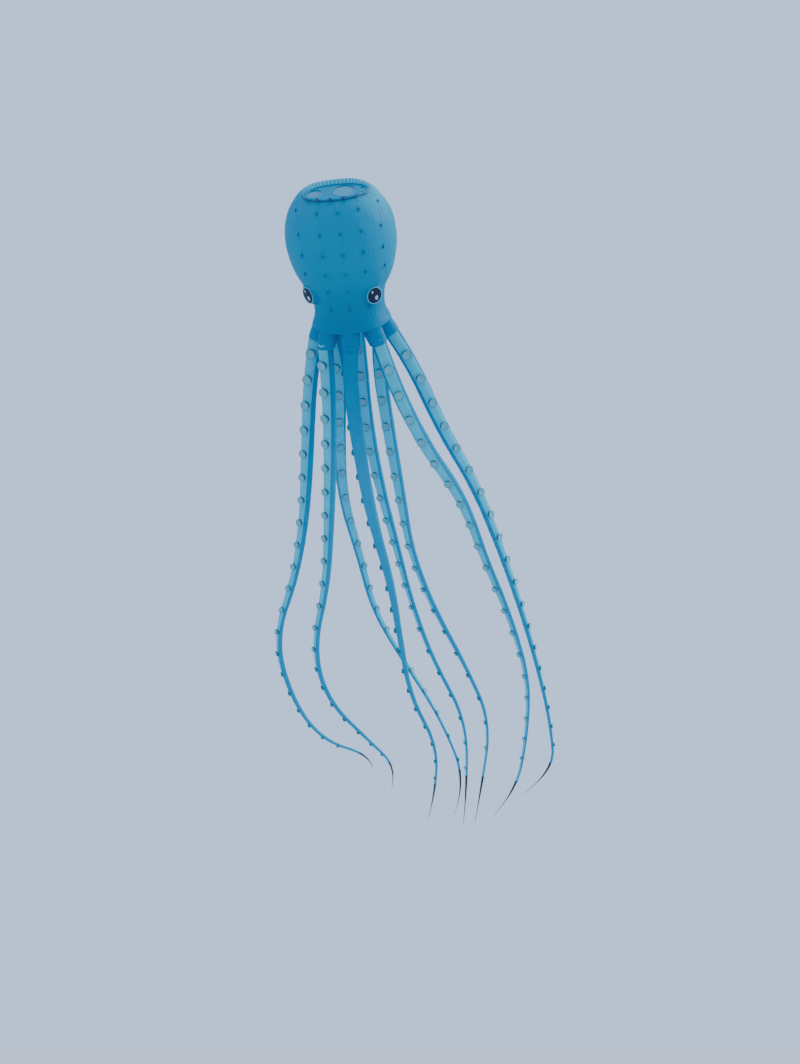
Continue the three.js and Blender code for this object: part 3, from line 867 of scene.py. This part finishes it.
def join_ends(piece, rows, columns):
    """Sews the last ring of a tube to its first."""
    shape = bmesh.new()
    shape.from_mesh(piece.data)
    shape.verts.ensure_lookup_table()
    first, last = shape.verts[:columns], shape.verts[(rows - 1) * columns :]
    for j in range(columns):
        k = (j + 1) % columns
        shape.faces.new((last[j], first[j], first[k], last[k]))
    bmesh.ops.recalc_face_normals(shape, faces=shape.faces[:])
    shape.to_mesh(piece.data)
    shape.free()


WINDOWS = [(-0.54, 0.2, 0.46), (0.22, 0.3, 0.64), (0.69, 0.08, 0.26)]  # middle, half width, half height
INTAKE_BELLY = 0.02  # how far the air swells the intake's middle


def intake_swell(x, z, inner):
    return INTAKE_BELLY * (1 - (x * x + z * z) / inner**2)


def make_strips(inner):
    """The cloth round the three windows of the intake, and the binding of their edges."""
    shape = bmesh.new()

    def loop(middle, wide, high, count, wave=0.0):
        turns = np.linspace(0, 2 * math.pi, count, endpoint=False)
        swell = 1 + wave * np.sin(9 * turns + middle)
        verts = [
            shape.verts.new((middle + wide * w * math.cos(t), 0, high * w * math.sin(t)))
            for t, w in zip(turns, swell)
        ]
        return [shape.edges.new((a, b)) for a, b in zip(verts, verts[1:] + verts[:1])]

    edges = loop(0, inner, inner, 128)
    for window in WINDOWS:
        edges += loop(*window, 48, 0.03)
    bmesh.ops.triangle_fill(shape, edges=edges, use_beauty=True)
    bmesh.ops.subdivide_edges(shape, edges=[e for e in shape.edges if e.calc_length() > 0.15], cuts=2)
    bmesh.ops.triangulate(shape, faces=shape.faces[:])
    flat = np.array([v.co for v in shape.verts])
    swell = intake_swell(flat[:, 0], flat[:, 2], inner)
    for vert, place in zip(shape.verts, from_head(flat[:, 0], -STRIPS_DEPTH - swell, flat[:, 2])):
        vert.co = place
    front = Vector(-HEAD_TURN[:, 1])
    bmesh.ops.recalc_face_normals(shape, faces=shape.faces[:])
    if sum(f.normal.dot(front) * f.calc_area() for f in shape.faces) < 0:
        bmesh.ops.reverse_faces(shape, faces=shape.faces[:])
    strips = from_bmesh("intake_strips", shape)
    # Painted shade: the strips set back in the intake a little darker.
    add_values(strips.data, "painted_shade", np.full(len(strips.data.vertices), 0.15))
    fix_to_head(strips, "collar")
    area = math.pi * inner**2 - sum(math.pi * w * h for _, w, h in WINDOWS)
    flat = (2 * inner, 2 * inner)
    turns = np.linspace(0, 2 * math.pi, 72, endpoint=False)
    lines = []
    for middle, wide, high in WINDOWS:
        x, z = middle + wide * np.cos(turns), high * np.sin(turns)
        lines.append(from_head(x, -BINDING_DEPTH - intake_swell(x, z, inner), z))
    fix_to_head(piping("intake_window_bindings", lines, 0.008, closed=True), "seam")


def make_net(inner):
    rings = np.linspace(0, inner, 26)[:, None]
    turns = np.linspace(0, 2 * math.pi, 72, endpoint=False)
    x, z = rings * np.cos(turns), rings * np.sin(turns)
    uv = np.stack(np.broadcast_arrays(x, z), -1)
    uv = np.concatenate([uv, uv[:, :1]], 1)
    points = from_head(x, -NET_DEPTH - intake_swell(x, z, inner), z)
    net = sew("intake_net", points, from_head(0, 0.5, 0), uv=uv, closed=True)
    finish_with(net, "net")
    merge_doubles(net)
    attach(net, "head")
    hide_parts("intake_mesh")
    flat = (2 * inner, 2 * inner)
    math.pi * inner**2


def make_draw_tape(rim):
    """The scalloped tape that draws the intake in, dark so that it also paints the shade along the intake's
    near rim, and the tabs on its belly side.
    """
    around = np.linspace(0, 2 * math.pi, 240, endpoint=False)
    scallop = 0.012 * np.abs(np.sin(10 * around))
    line = on_head(rim + 0.012, around, -0.012 - scallop)
    fix_to_head(piping("intake_draw_tape", [line], 0.011, "tape", closed=True), "tape")
    tab = rounded_plate("nose_tab_pattern", *NOSE_TAB)
    along = HEAD_TURN[:, 1]
    places, axes = [], []
    for turn in map(math.radians, NOSE_TAB_ANGLES):
        out = HEAD_TURN @ np.array([math.sin(turn), 0, -math.cos(turn)])
        places.append(on_head(rim + 0.022, turn, -0.02))
        axes.append((np.cross(out, along), -out, along))
    tabs = repeats("intake_tabs", tab, places, axes, np.ones(len(places)), "tape")
    bpy.data.objects.remove(tab)
    fix_to_head(tabs, "tape")


# The neck

class KITE_OT_collar(bpy.types.Operator):
    """Sew the collar, whose lobes run out on to the tentacles"""

    bl_idname = "kite.collar"
    bl_label = "Collar"

    def execute(self, context):
        shape = bmesh.new()
        stations = np.linspace(COLLAR_START, COLLAR_EDGE, 18)
        turns = np.linspace(0, 2 * math.pi, 96, endpoint=False)
        add_tube(shape, on_head(head_radius(stations)[:, None], turns, stations[:, None]))
        for number in range(1, len(TENTACLES) + 1):
            add_tube(shape, lobe_rings(number, turns[::3]))
        bmesh.ops.recalc_face_normals(shape, faces=shape.faces[:])
        raw = from_bmesh("collar_raw", shape)
        joined = raw.modifiers.new("Join", "REMESH")
        joined.mode, joined.voxel_size, joined.use_smooth_shade = "VOXEL", 0.024, True
        soft = raw.modifiers.new("Soften", "SMOOTH")
        soft.factor, soft.iterations = 0.5, 8
        collar = settle("collar_skin", raw)
        trim_collar(collar)
        fix_to_head(collar, "collar", "collar")
        around = np.linspace(0, 2 * math.pi, 40, endpoint=False)
        lines = [
            ring_points(route_of(n), np.array([LOBE_END]), around, np.array([LOBE_HEM]))[0]
            for n in range(1, len(TENTACLES) + 1)
        ]
        hem = piping("lobe_hems", lines, 0.005, "collar", closed=True)
        # Painted shade: the lobe hems as dark as the collar's lower edge.
        add_values(hem.data, "painted_shade", np.full(len(hem.data.vertices), 0.9))
        fix_to_head(hem, "collar")
        return {"FINISHED"}


def lobe_rings(number, turns):
    """Rings of one lobe, which leaves the neck along the head's axis and turns on to its tentacle."""
    route = route_of(number)
    angle = math.radians(TENTACLES[number - 1][0]) + ROOT_ROLL
    tangent, below, right = (v[0] for v in route["frame"](np.array([0.0])))
    start = on_head(LOBE_START[0], angle, LOBE_START[1])
    end = route["where"](np.array([LOBE_REACH]))[0]
    t = np.linspace(0, 1, 16)[:, None]
    run = np.linalg.norm(end - start)
    centres = (1 + 2 * t) * (1 - t) ** 2 * start + t * t * (3 - 2 * t) * end
    centres = centres + t * (1 - t) ** 2 * run * HEAD_TURN[:, 1] - t * t * (1 - t) * run * tangent
    out = right * np.sin(turns)[:, None] + below * np.cos(turns)[:, None]
    girth = 0.255 - 0.027 * t + 0.03 * np.sin(math.pi * t)
    return centres[:, None] + out[None] * girth[..., None]


def add_tube(shape, rings):
    """A closed tube of points in rings, added to a mesh that is being made."""
    rows = [[shape.verts.new(p) for p in ring] for ring in rings]
    for a, b in zip(rows, rows[1:]):
        for j in range(len(a)):
            k = (j + 1) % len(a)
            shape.faces.new((a[j], a[k], b[k], b[j]))
    shape.faces.new(rows[0][::-1])
    shape.faces.new(rows[-1])


def trim_collar(collar):
    """Cuts the collar off square at its seam and at the end of every lobe, and sets its painted shade."""
    shape = bmesh.new()
    shape.from_mesh(collar.data)
    axis = Vector(HEAD_TURN[:, 1])

    def cut(faces, place, normal):
        edges = {e for f in faces for e in f.edges}
        verts = {v for f in faces for v in f.verts}
        bmesh.ops.bisect_plane(
            shape, geom=[*faces, *edges, *verts], plane_co=place, plane_no=normal, clear_outer=True
        )

    cut(shape.faces[:], Vector(from_head(0, COLLAR_SEAM, 0)), -axis)
    for number in range(1, len(TENTACLES) + 1):
        route = route_of(number)
        place = Vector(route["where"](np.array([LOBE_END]))[0])
        normal = Vector(route["frame"](np.array([0.0]))[0][0])
        near = [f for f in shape.faces if (f.calc_center_median() - place).length < 0.3]
        cut(near, place, normal)
    stray = [v for v in shape.verts if not v.link_faces]
    bmesh.ops.delete(shape, geom=stray, context="VERTS")
    shape.to_mesh(collar.data)
    shape.free()
    local = (np.array([v.co for v in collar.data.vertices]) - INTAKE) @ HEAD_TURN
    angle = np.arctan2(local[:, 0], -local[:, 2])
    add_values(collar.data, "painted_shade", np.clip(head_painted_shade(local[:, 1], angle), 0, 1))
    smooth_shading(collar)


# The eyes

class KITE_OT_eyes(bpy.types.Operator):
    """Sew the padded mounds, the eyes and the light patches on them"""

    bl_idname = "kite.eyes"
    bl_label = "Eyes"

    def execute(self, context):
        for side, angle in EYE_ANGLES.items():
            make_eye(side, angle, context.scene.kite_head)
        return {"FINISHED"}


def make_eye(side, eye_angle, settings):
    station = EYE_STATIONS[side]
    reach = float(np.interp(station, *zip(*HEAD_PROFILE)))
    lean = np.array([0, math.sin(EYE_TILT), -math.cos(EYE_TILT)])
    spin = np.array(Matrix.Rotation(math.copysign(EYE_LEAN, eye_angle) - eye_angle, 3, "Y"))
    out, round_it = spin @ lean, spin @ np.array([1.0, 0, 0])
    along = spin @ np.array([0, math.cos(EYE_TILT), math.sin(EYE_TILT)])
    seat = np.array([reach * math.sin(eye_angle), station, -reach * math.cos(eye_angle)])
    turns = np.linspace(0, 2 * math.pi, 96, endpoint=False)

    def local(a, b, height):
        flat = seat + np.asarray(height)[..., None] * out
        flat = flat + np.asarray(a)[..., None] * along + np.asarray(b)[..., None] * round_it
        return from_head(flat[..., 0], flat[..., 1], flat[..., 2])

    far = np.linspace(0, MOUND_RIM, 34)[:, None]
    a, b = far * np.cos(turns), far * np.sin(turns)
    weight = smoothstep(MOUND_FLAT, MOUND_RIM, far + 0 * a)
    swell = 0.01 * np.exp(-(((far - 0.225) / 0.03) ** 2)) * (1 + 0.25 * np.sin(26 * turns))
    high = local(a, b, EYE_SEAT + 0 * a + swell)
    low = skin_point(station + a, eye_angle + b / reach, settings, 1.0, -0.004)
    points = high + (low - high) * weight[..., None]
    # Painted shade: a darker ring round the mound's foot.
    painted_shade = head_painted_shade(station + a, eye_angle + b / reach) + 1.2 * weight * (1 - weight)
    painted_shade = np.clip(painted_shade, 0, 1)
    uv = np.stack(np.broadcast_arrays(a, b), -1)
    uv = np.concatenate([uv, uv[:, :1]], 1)
    values = {"painted_shade": painted_shade, "crest": 0}
    inside = local(0.0, 0.0, -0.4)
    mound = sew(f"eye_mound_skin_{side}", points, inside, uv=uv, closed=True, values=values)
    merge_doubles(mound)
    fix_to_head(mound, "head", f"eye_mound_{side}")

    disc, rise = (np.array(part)[:, None] for part in zip(*EYE_DOME, *EYE_BACK))
    points = local(disc * np.cos(turns), disc * np.sin(turns), EYE_SEAT + rise + 0 * turns)
    eye = sew(f"eye_cloth_{side}", points, local(0.0, 0.0, EYE_SEAT + 0.002), closed=True)
    merge_doubles(eye)
    fix_to_head(eye, "eye", f"eye_{side}")

    edge = EYE_RADIUS + 0.007
    line = local(edge * np.cos(turns), edge * np.sin(turns), EYE_SEAT + 0.006 + 0 * turns)
    fix_to_head(piping(f"eye_rim_{side}", [line], 0.009, "rim", closed=True), "rim")

    def dome(a, b):
        return EYE_SEAT + np.interp(np.hypot(a, b), *zip(*EYE_DOME))

    ring, lift = (np.array(part)[:, None] for part in zip(*SHINE_PROFILE))
    turns = turns[::3]
    for number, (down, right, high, wide) in enumerate(SHINES, 1):
        a, b = down + ring * high * np.cos(turns), right + ring * wide * np.sin(turns)
        points = local(a, b, dome(a, b) + 0.001 + lift)
        centre = local(down, right, dome(down, right))
        shine = sew(f"eye_shine_{side}_{number}", points, centre, closed=True)
        merge_doubles(shine)
        fix_to_head(shine, "white")


# The tentacles

ROUTES = {}


def route_of(number):
    """A tentacle's centre line: where(s), frame(s) as (tangent, down, right) and turn(s)."""
    if number in ROUTES:
        return ROUTES[number]
    around, sway, dip, facing = TENTACLES[number - 1]
    root_angle = math.radians(around) + ROOT_ROLL
    root = on_head(ROOT_CIRCLE, root_angle, ROOT_STATION)

    def heading(s):
        knots = np.linspace(0, WHOLE_LENGTH, len(sway))
        a, b = np.radians(np.interp(s, knots, sway)), np.radians(np.interp(s, knots, dip))
        return np.stack([np.sin(a) * np.cos(b), np.cos(a) * np.cos(b), -np.sin(b)], -1)

    steps = np.arange(ROUTE_STEP / 2, WHOLE_LENGTH, ROUTE_STEP)
    line = np.concatenate([[root], root + np.cumsum(heading(steps) * ROUTE_STEP, 0)])
    line = np.concatenate([[root - 0.6 * heading(0.0)], line])
    marks = np.concatenate([[-0.6], np.arange(len(steps) + 1) * ROUTE_STEP])

    def where(s):
        return np.stack([np.interp(s, marks, line[:, k]) for k in range(3)], -1)

    def frame_at(s):
        tangent = heading(s)
        below = np.array([0, 0, -1.0]) - tangent * -tangent[..., 2:]
        below /= np.linalg.norm(below, axis=-1, keepdims=True)
        return tangent, below, np.cross(below, tangent)

    def turn(s):
        return np.radians(np.interp(s, [0, TENTACLE_LENGTH], facing))

    ROUTES[number] = {"where": where, "frame": frame_at, "turn": turn}
    return ROUTES[number]


def ring_points(route, s, angles, radius):
    """Points round a route at each distance, at angles from straight down to the right."""
    _, below, right = route["frame"](s)
    angles = np.broadcast_to(angles, (len(s), np.shape(angles)[-1]))
    radius = np.broadcast_to(np.reshape(radius, (len(s), -1)), angles.shape)
    out = right[:, None] * np.sin(angles)[..., None] + below[:, None] * np.cos(angles)[..., None]
    return route["where"](s)[:, None] + out * radius[..., None]


def tube_radius(s):
    knots = np.linspace(0, TENTACLE_LENGTH, len(TUBE_RADII))
    return smooth_curve(list(zip(knots, TUBE_RADII)), s)


def skin_radius(number, s, around, settings):
    """The radius of a tentacle's skin: it is pulled in along its two seams, and creased."""
    base = (tube_radius(s) - 0.015 * (1 - smoothstep(LOBE_END, LOBE_END + 0.045, s)))[:, None]
    from_seam = base * (math.pi - np.abs(np.abs(around) - math.pi) - SUCKER_SIDE / 2)
    pulled = 0.006 * np.exp(-((from_seam / 0.03) ** 2))
    x, y = np.sin(around), np.cos(around)
    waves = ripples(0.5 * x, 0.5 * y, s[:, None] + 0 * x, seed=number, size=0.34)
    long_waves = ripples(0.2 * x, 0.2 * y, s[:, None] + 0 * x, seed=20 + number, size=1.3)
    fine = ripples(x, y, 3 * s[:, None] + 0 * x, seed=40 + number, size=0.5)
    depth = settings.crumple * np.minimum(base / 0.16, 1)
    return base - pulled + depth * (waves + 0.35 * fine + 0.8 * long_waves)


def bend_with(piece, number, part):
    """Bakes a piece's placement into its mesh; the points where its length bends are found but not used."""
    *_, before, after, bend_from, bend_to = part
    where = route_of(number)["where"]
    bend = [tuple(where(np.array([at]))[0]) for at in (bend_from, bend_to)]
    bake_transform(piece)


def make_length(number, part, settings):
    """One length of a tentacle's skin: the sucker side, the back and the piping between them."""
    name, start, end = part[:3]
    route = route_of(number)
    s = np.linspace(start, end, round((end - start) / settings.step) + 1)
    middle = route["where"](s)[:, None]
    for side, centre, girth, key, slot in (
        ("sucker", 0.0, SUCKER_SIDE, "pale", "tentacle_sucker_side"),
        ("back", math.pi, 2 * math.pi - SUCKER_SIDE, "back", "tentacle_back"),
    ):
        across = np.linspace(-girth / 2, girth / 2, round(settings.sides * girth / (2 * math.pi)) + 1)
        around = centre + across[None]
        radius = skin_radius(number, s, around + 0 * s[:, None], settings)
        points = ring_points(route, s, route["turn"](s)[:, None] + around, radius)
        uv = np.stack(np.broadcast_arrays(across[None] * tube_radius(s)[:, None], s[:, None]), -1)
        # Painted shade: each panel darker towards the root, and darker along its seams.
        painted_shade = np.clip(0.85 - 0.16 * s, 0.12, 0.85) if side == "back" else np.clip(0.2 - 0.05 * s, 0, 1)
        edge = np.exp(-(((np.abs(across) - girth / 2) * tube_radius(s)[:, None] / 0.012) ** 2))
        painted_shade = np.clip(painted_shade[:, None] + 0.2 * edge, 0, 1)
        piece = sew(f"tentacle_{number}_{name}_{side}_skin", points, middle, uv=uv, values={"painted_shade": painted_shade})
        finish_with(piece, key)
        if name in REPLACED:
            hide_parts(f"tentacle_{number}_{REPLACED[name]}_{side}_panel")
        bend_with(piece, number, part)
        width = girth * float(tube_radius(s).max())
        area = girth * float(np.trapz(tube_radius(s), s))
    lines = []
    for edge in (-SUCKER_SIDE / 2, SUCKER_SIDE / 2):
        around = np.full((len(s), 1), edge)
        radius = skin_radius(number, s, around, settings) + 0.5 * settings.piping
        lines.append(ring_points(route, s, route["turn"](s)[:, None] + around, radius)[:, 0])
    seams = piping(f"tentacle_{number}_{name}_seams", lines, settings.piping)
    finish_with(seams, "seam")
    bend_with(seams, number, part)


class KITE_OT_tentacles(bpy.types.Operator):
    """Sew the eight tentacles, in three lengths each"""

    bl_idname = "kite.tentacles"
    bl_label = "Tentacles"

    def execute(self, context):
        for number in range(1, len(TENTACLES) + 1):
            for part in LENGTHS:
                make_length(number, part, context.scene.kite_tentacles)
        return {"FINISHED"}


def cup_pattern(height):
    """A sucker one metre across: a short flared wall, a rolled rim and a slack disc of cloth."""
    profile = [  # radius, share of the height, and whether it is the disc
        (0.45, -0.35, 0), (0.465, 0.3, 0), (0.49, 0.85, 0), (0.505, 1.0, 0), (0.485, 1.03, 0),
        (0.455, 0.93, 1), (0.25, 0.86, 1), (0.0, 0.84, 1),
    ]
    turns = np.linspace(0, 2 * math.pi, 20, endpoint=False)
    radius, rise, disc = (np.array(part, float)[:, None] for part in zip(*profile))
    rings = np.broadcast_arrays(radius * np.cos(turns), radius * np.sin(turns), height * rise)
    points = np.stack(rings, -1)
    cup = sew("sucker_pattern", points, np.array([0, 0, 0.3 * height]), closed=True, values={"disc": disc})
    merge_doubles(cup)
    return cup


class KITE_OT_suckers(bpy.types.Operator):
    """Set the suckers along every tentacle"""

    bl_idname = "kite.suckers"
    bl_label = "Suckers"

    def execute(self, context):
        settings = context.scene.kite_suckers
        cup = cup_pattern(settings.height)
        for number, (first, spacing) in enumerate(SUCKER_ROWS, 1):
            stations = np.arange(first, LAST_SUCKER, spacing)
            route = route_of(number)
            for part in LENGTHS:
                name, start, end = part[:3]
                s = stations[(stations >= start) & (stations < end)]
                turn = route["turn"](s)[:, None]
                tangent, below, right = route["frame"](s)
                out = right * np.sin(turn) + below * np.cos(turn)
                places = route["where"](s) + out * (tube_radius(s)[:, None] - SUCKER_SINK)
                axes = [(t, np.cross(o, t), o) for t, o in zip(tangent, out)]
                sizes = np.interp(s, [0, TENTACLE_LENGTH], [settings.across_root, settings.across_end])
                cups = repeats(f"tentacle_{number}_{name}_suckers", cup, places, axes, sizes, "cup")
                finish_with(cups, "cup")
                smooth_shading(cups)
                bend_with(cups, number, part)
        bpy.data.objects.remove(cup)
        return {"FINISHED"}


class KITE_OT_tips(bpy.types.Operator):
    """Sew the black sleeve and the thin tail at each tentacle's end"""

    bl_idname = "kite.tips"
    bl_label = "Tips"

    def execute(self, context):
        for number in range(1, len(TENTACLES) + 1):
            make_tip(number)
        return {"FINISHED"}


def make_tip(number):
    """A round sleeve whose end flattens into a creased tail, closed at both ends."""
    route = route_of(number)
    s = np.linspace(TENTACLE_LENGTH - 0.03, WHOLE_LENGTH - 0.01, 60)
    along = (s - s[0]) / (s[-1] - s[0])
    radius = smooth_curve(list(zip(np.linspace(0, 1, len(TIP_RADII)), TIP_RADII)), along)
    radius = radius + 0.012 * np.exp(-along / 0.02)
    turns = np.linspace(0, 2 * math.pi, 20, endpoint=False)
    flat = 1 - 0.35 * smoothstep(0.1, 0.5, along)[:, None] * np.abs(np.sin(turns))
    fields = np.broadcast_arrays(np.cos(turns), 8 * s[:, None])
    crease = 1 + 0.05 * ripples(*fields, seed=number, size=1)
    points = ring_points(route, s, route["turn"](s)[:, None] + turns, radius[:, None] * flat * crease)
    ends = route["where"](s)
    caps = [np.repeat(ends[None, at : at + 1], len(turns), 1) for at in (0, len(s) - 1)]
    points = np.concatenate([caps[0], points, caps[1]])
    middle = np.concatenate([ends[:1] + 0.01 * (ends[1:2] - ends[:1]), ends, ends[-1:]])
    tip = sew(f"tentacle_{number}_tip_sleeve", points, middle[:, None], closed=True)
    merge_doubles(tip)
    finish_with(tip, "black")
    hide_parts(f"tentacle_{number}_tip")
    bend_with(tip, number, LENGTHS[-1])


# The frame's own pieces

class KITE_OT_frame_cloth(bpy.types.Operator):
    """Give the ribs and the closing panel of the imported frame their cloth"""

    bl_idname = "kite.frame_cloth"
    bl_label = "Ribs and closing panel"

    def execute(self, context):
        for name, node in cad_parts.items():
            if name.startswith("rib_") or name == "neck_closing_panel":
                finish_with(node, "rib")
        return {"FINISHED"}


# The stage

class KITE_OT_stage(bpy.types.Operator):
    """Set the floor, the lights and the camera"""

    bl_idname = "kite.stage"
    bl_label = "Stage"

    def execute(self, context):
        scene, settings = context.scene, context.scene.kite_stage
        camera = bpy.data.objects.new("camera", bpy.data.cameras.new("camera"))
        camera.data.lens, camera.data.sensor_width = CAMERA_LENS, SENSOR
        camera.data.clip_end = 500
        camera.location = Vector(INTAKE) - Vector(CAMERA_TO_INTAKE)
        camera.rotation_euler = (math.pi / 2 + CAMERA_PITCH, 0, 0)
        scene.collection.objects.link(camera)
        scene.camera = camera
        shape = bmesh.new()
        bmesh.ops.create_grid(shape, x_segments=1, y_segments=1, size=400)
        floor = from_bmesh("floor", shape)
        level = camera.location.z - CAMERA_HEIGHT
        floor.data.transform(Matrix.Translation((camera.location.x, camera.location.y, level)))
        paint = Finish("floor_paint")
        values = {"Base Color": tuple(settings.floor), "Roughness": 0.9}
        floor.data.materials.append(paint.out(paint.node("ShaderNodeBsdfPrincipled", None, values)))
        lights = (  # name, strength, spread in degrees, tint, and where from
            ("key", settings.sun, 14, (1.0, 0.97, 0.92), (0.8, -0.1, 0.6)),
            ("fill", settings.fill, 60, (0.9, 0.97, 1.0), (-0.3, -0.75, -0.5)),
        )
        for name, strength, spread, tint, source in lights:
            lamp = bpy.data.lights.new(name, "SUN")
            lamp.energy, lamp.angle, lamp.color = strength, math.radians(spread), tint
            light = bpy.data.objects.new(name, lamp)
            light.rotation_euler = Vector(source).to_track_quat("Z", "Y").to_euler()
            scene.collection.objects.link(light)
        world = bpy.data.worlds.new("air")
        world.use_nodes = True
        ground = world.node_tree.nodes["Background"]
        ground.inputs["Color"].default_value = (*settings.air, 1)
        scene.world = world
        return {"FINISHED"}


OPERATORS = [
    KITE_OT_frame_cloth, KITE_OT_head_skin, KITE_OT_bridle_tabs, KITE_OT_intake, KITE_OT_collar,
    KITE_OT_eyes, KITE_OT_tentacles, KITE_OT_suckers, KITE_OT_tips, KITE_OT_stage,
]


class KITE_PT_sewing(bpy.types.Panel):
    """Sizes and colours of the kite, and a button for each group of pieces"""

    bl_label = "Kite"
    bl_idname = "KITE_PT_sewing"
    bl_space_type = "VIEW_3D"
    bl_region_type = "UI"
    bl_category = "Kite"

    def draw(self, context):
        for key, group in SETTINGS.items():
            box = self.layout.box()
            for prop in group.__annotations__:
                box.prop(getattr(context.scene, key), prop)
        for operator in OPERATORS:
            self.layout.operator(operator.bl_idname)


def register():
    for group in SETTINGS.values():
        bpy.utils.register_class(group)
    for key, group in SETTINGS.items():
        setattr(bpy.types.Scene, key, bpy.props.PointerProperty(type=group))
    for operator in OPERATORS:
        bpy.utils.register_class(operator)
    bpy.utils.register_class(KITE_PT_sewing)


def unregister():
    bpy.utils.unregister_class(KITE_PT_sewing)
    for operator in reversed(OPERATORS):
        bpy.utils.unregister_class(operator)
    for key, group in SETTINGS.items():
        delattr(bpy.types.Scene, key)
        bpy.utils.unregister_class(group)


def main():
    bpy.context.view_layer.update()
    register()
    make_finishes(bpy.context.scene.kite_cloth)
    TREES.update(repeat=repeat_tree(), piping=piping_tree())
    for operator in OPERATORS:
        category, name = operator.bl_idname.split(".")
        getattr(getattr(bpy.ops, category), name)()


if __name__ == "__main__":
    main()
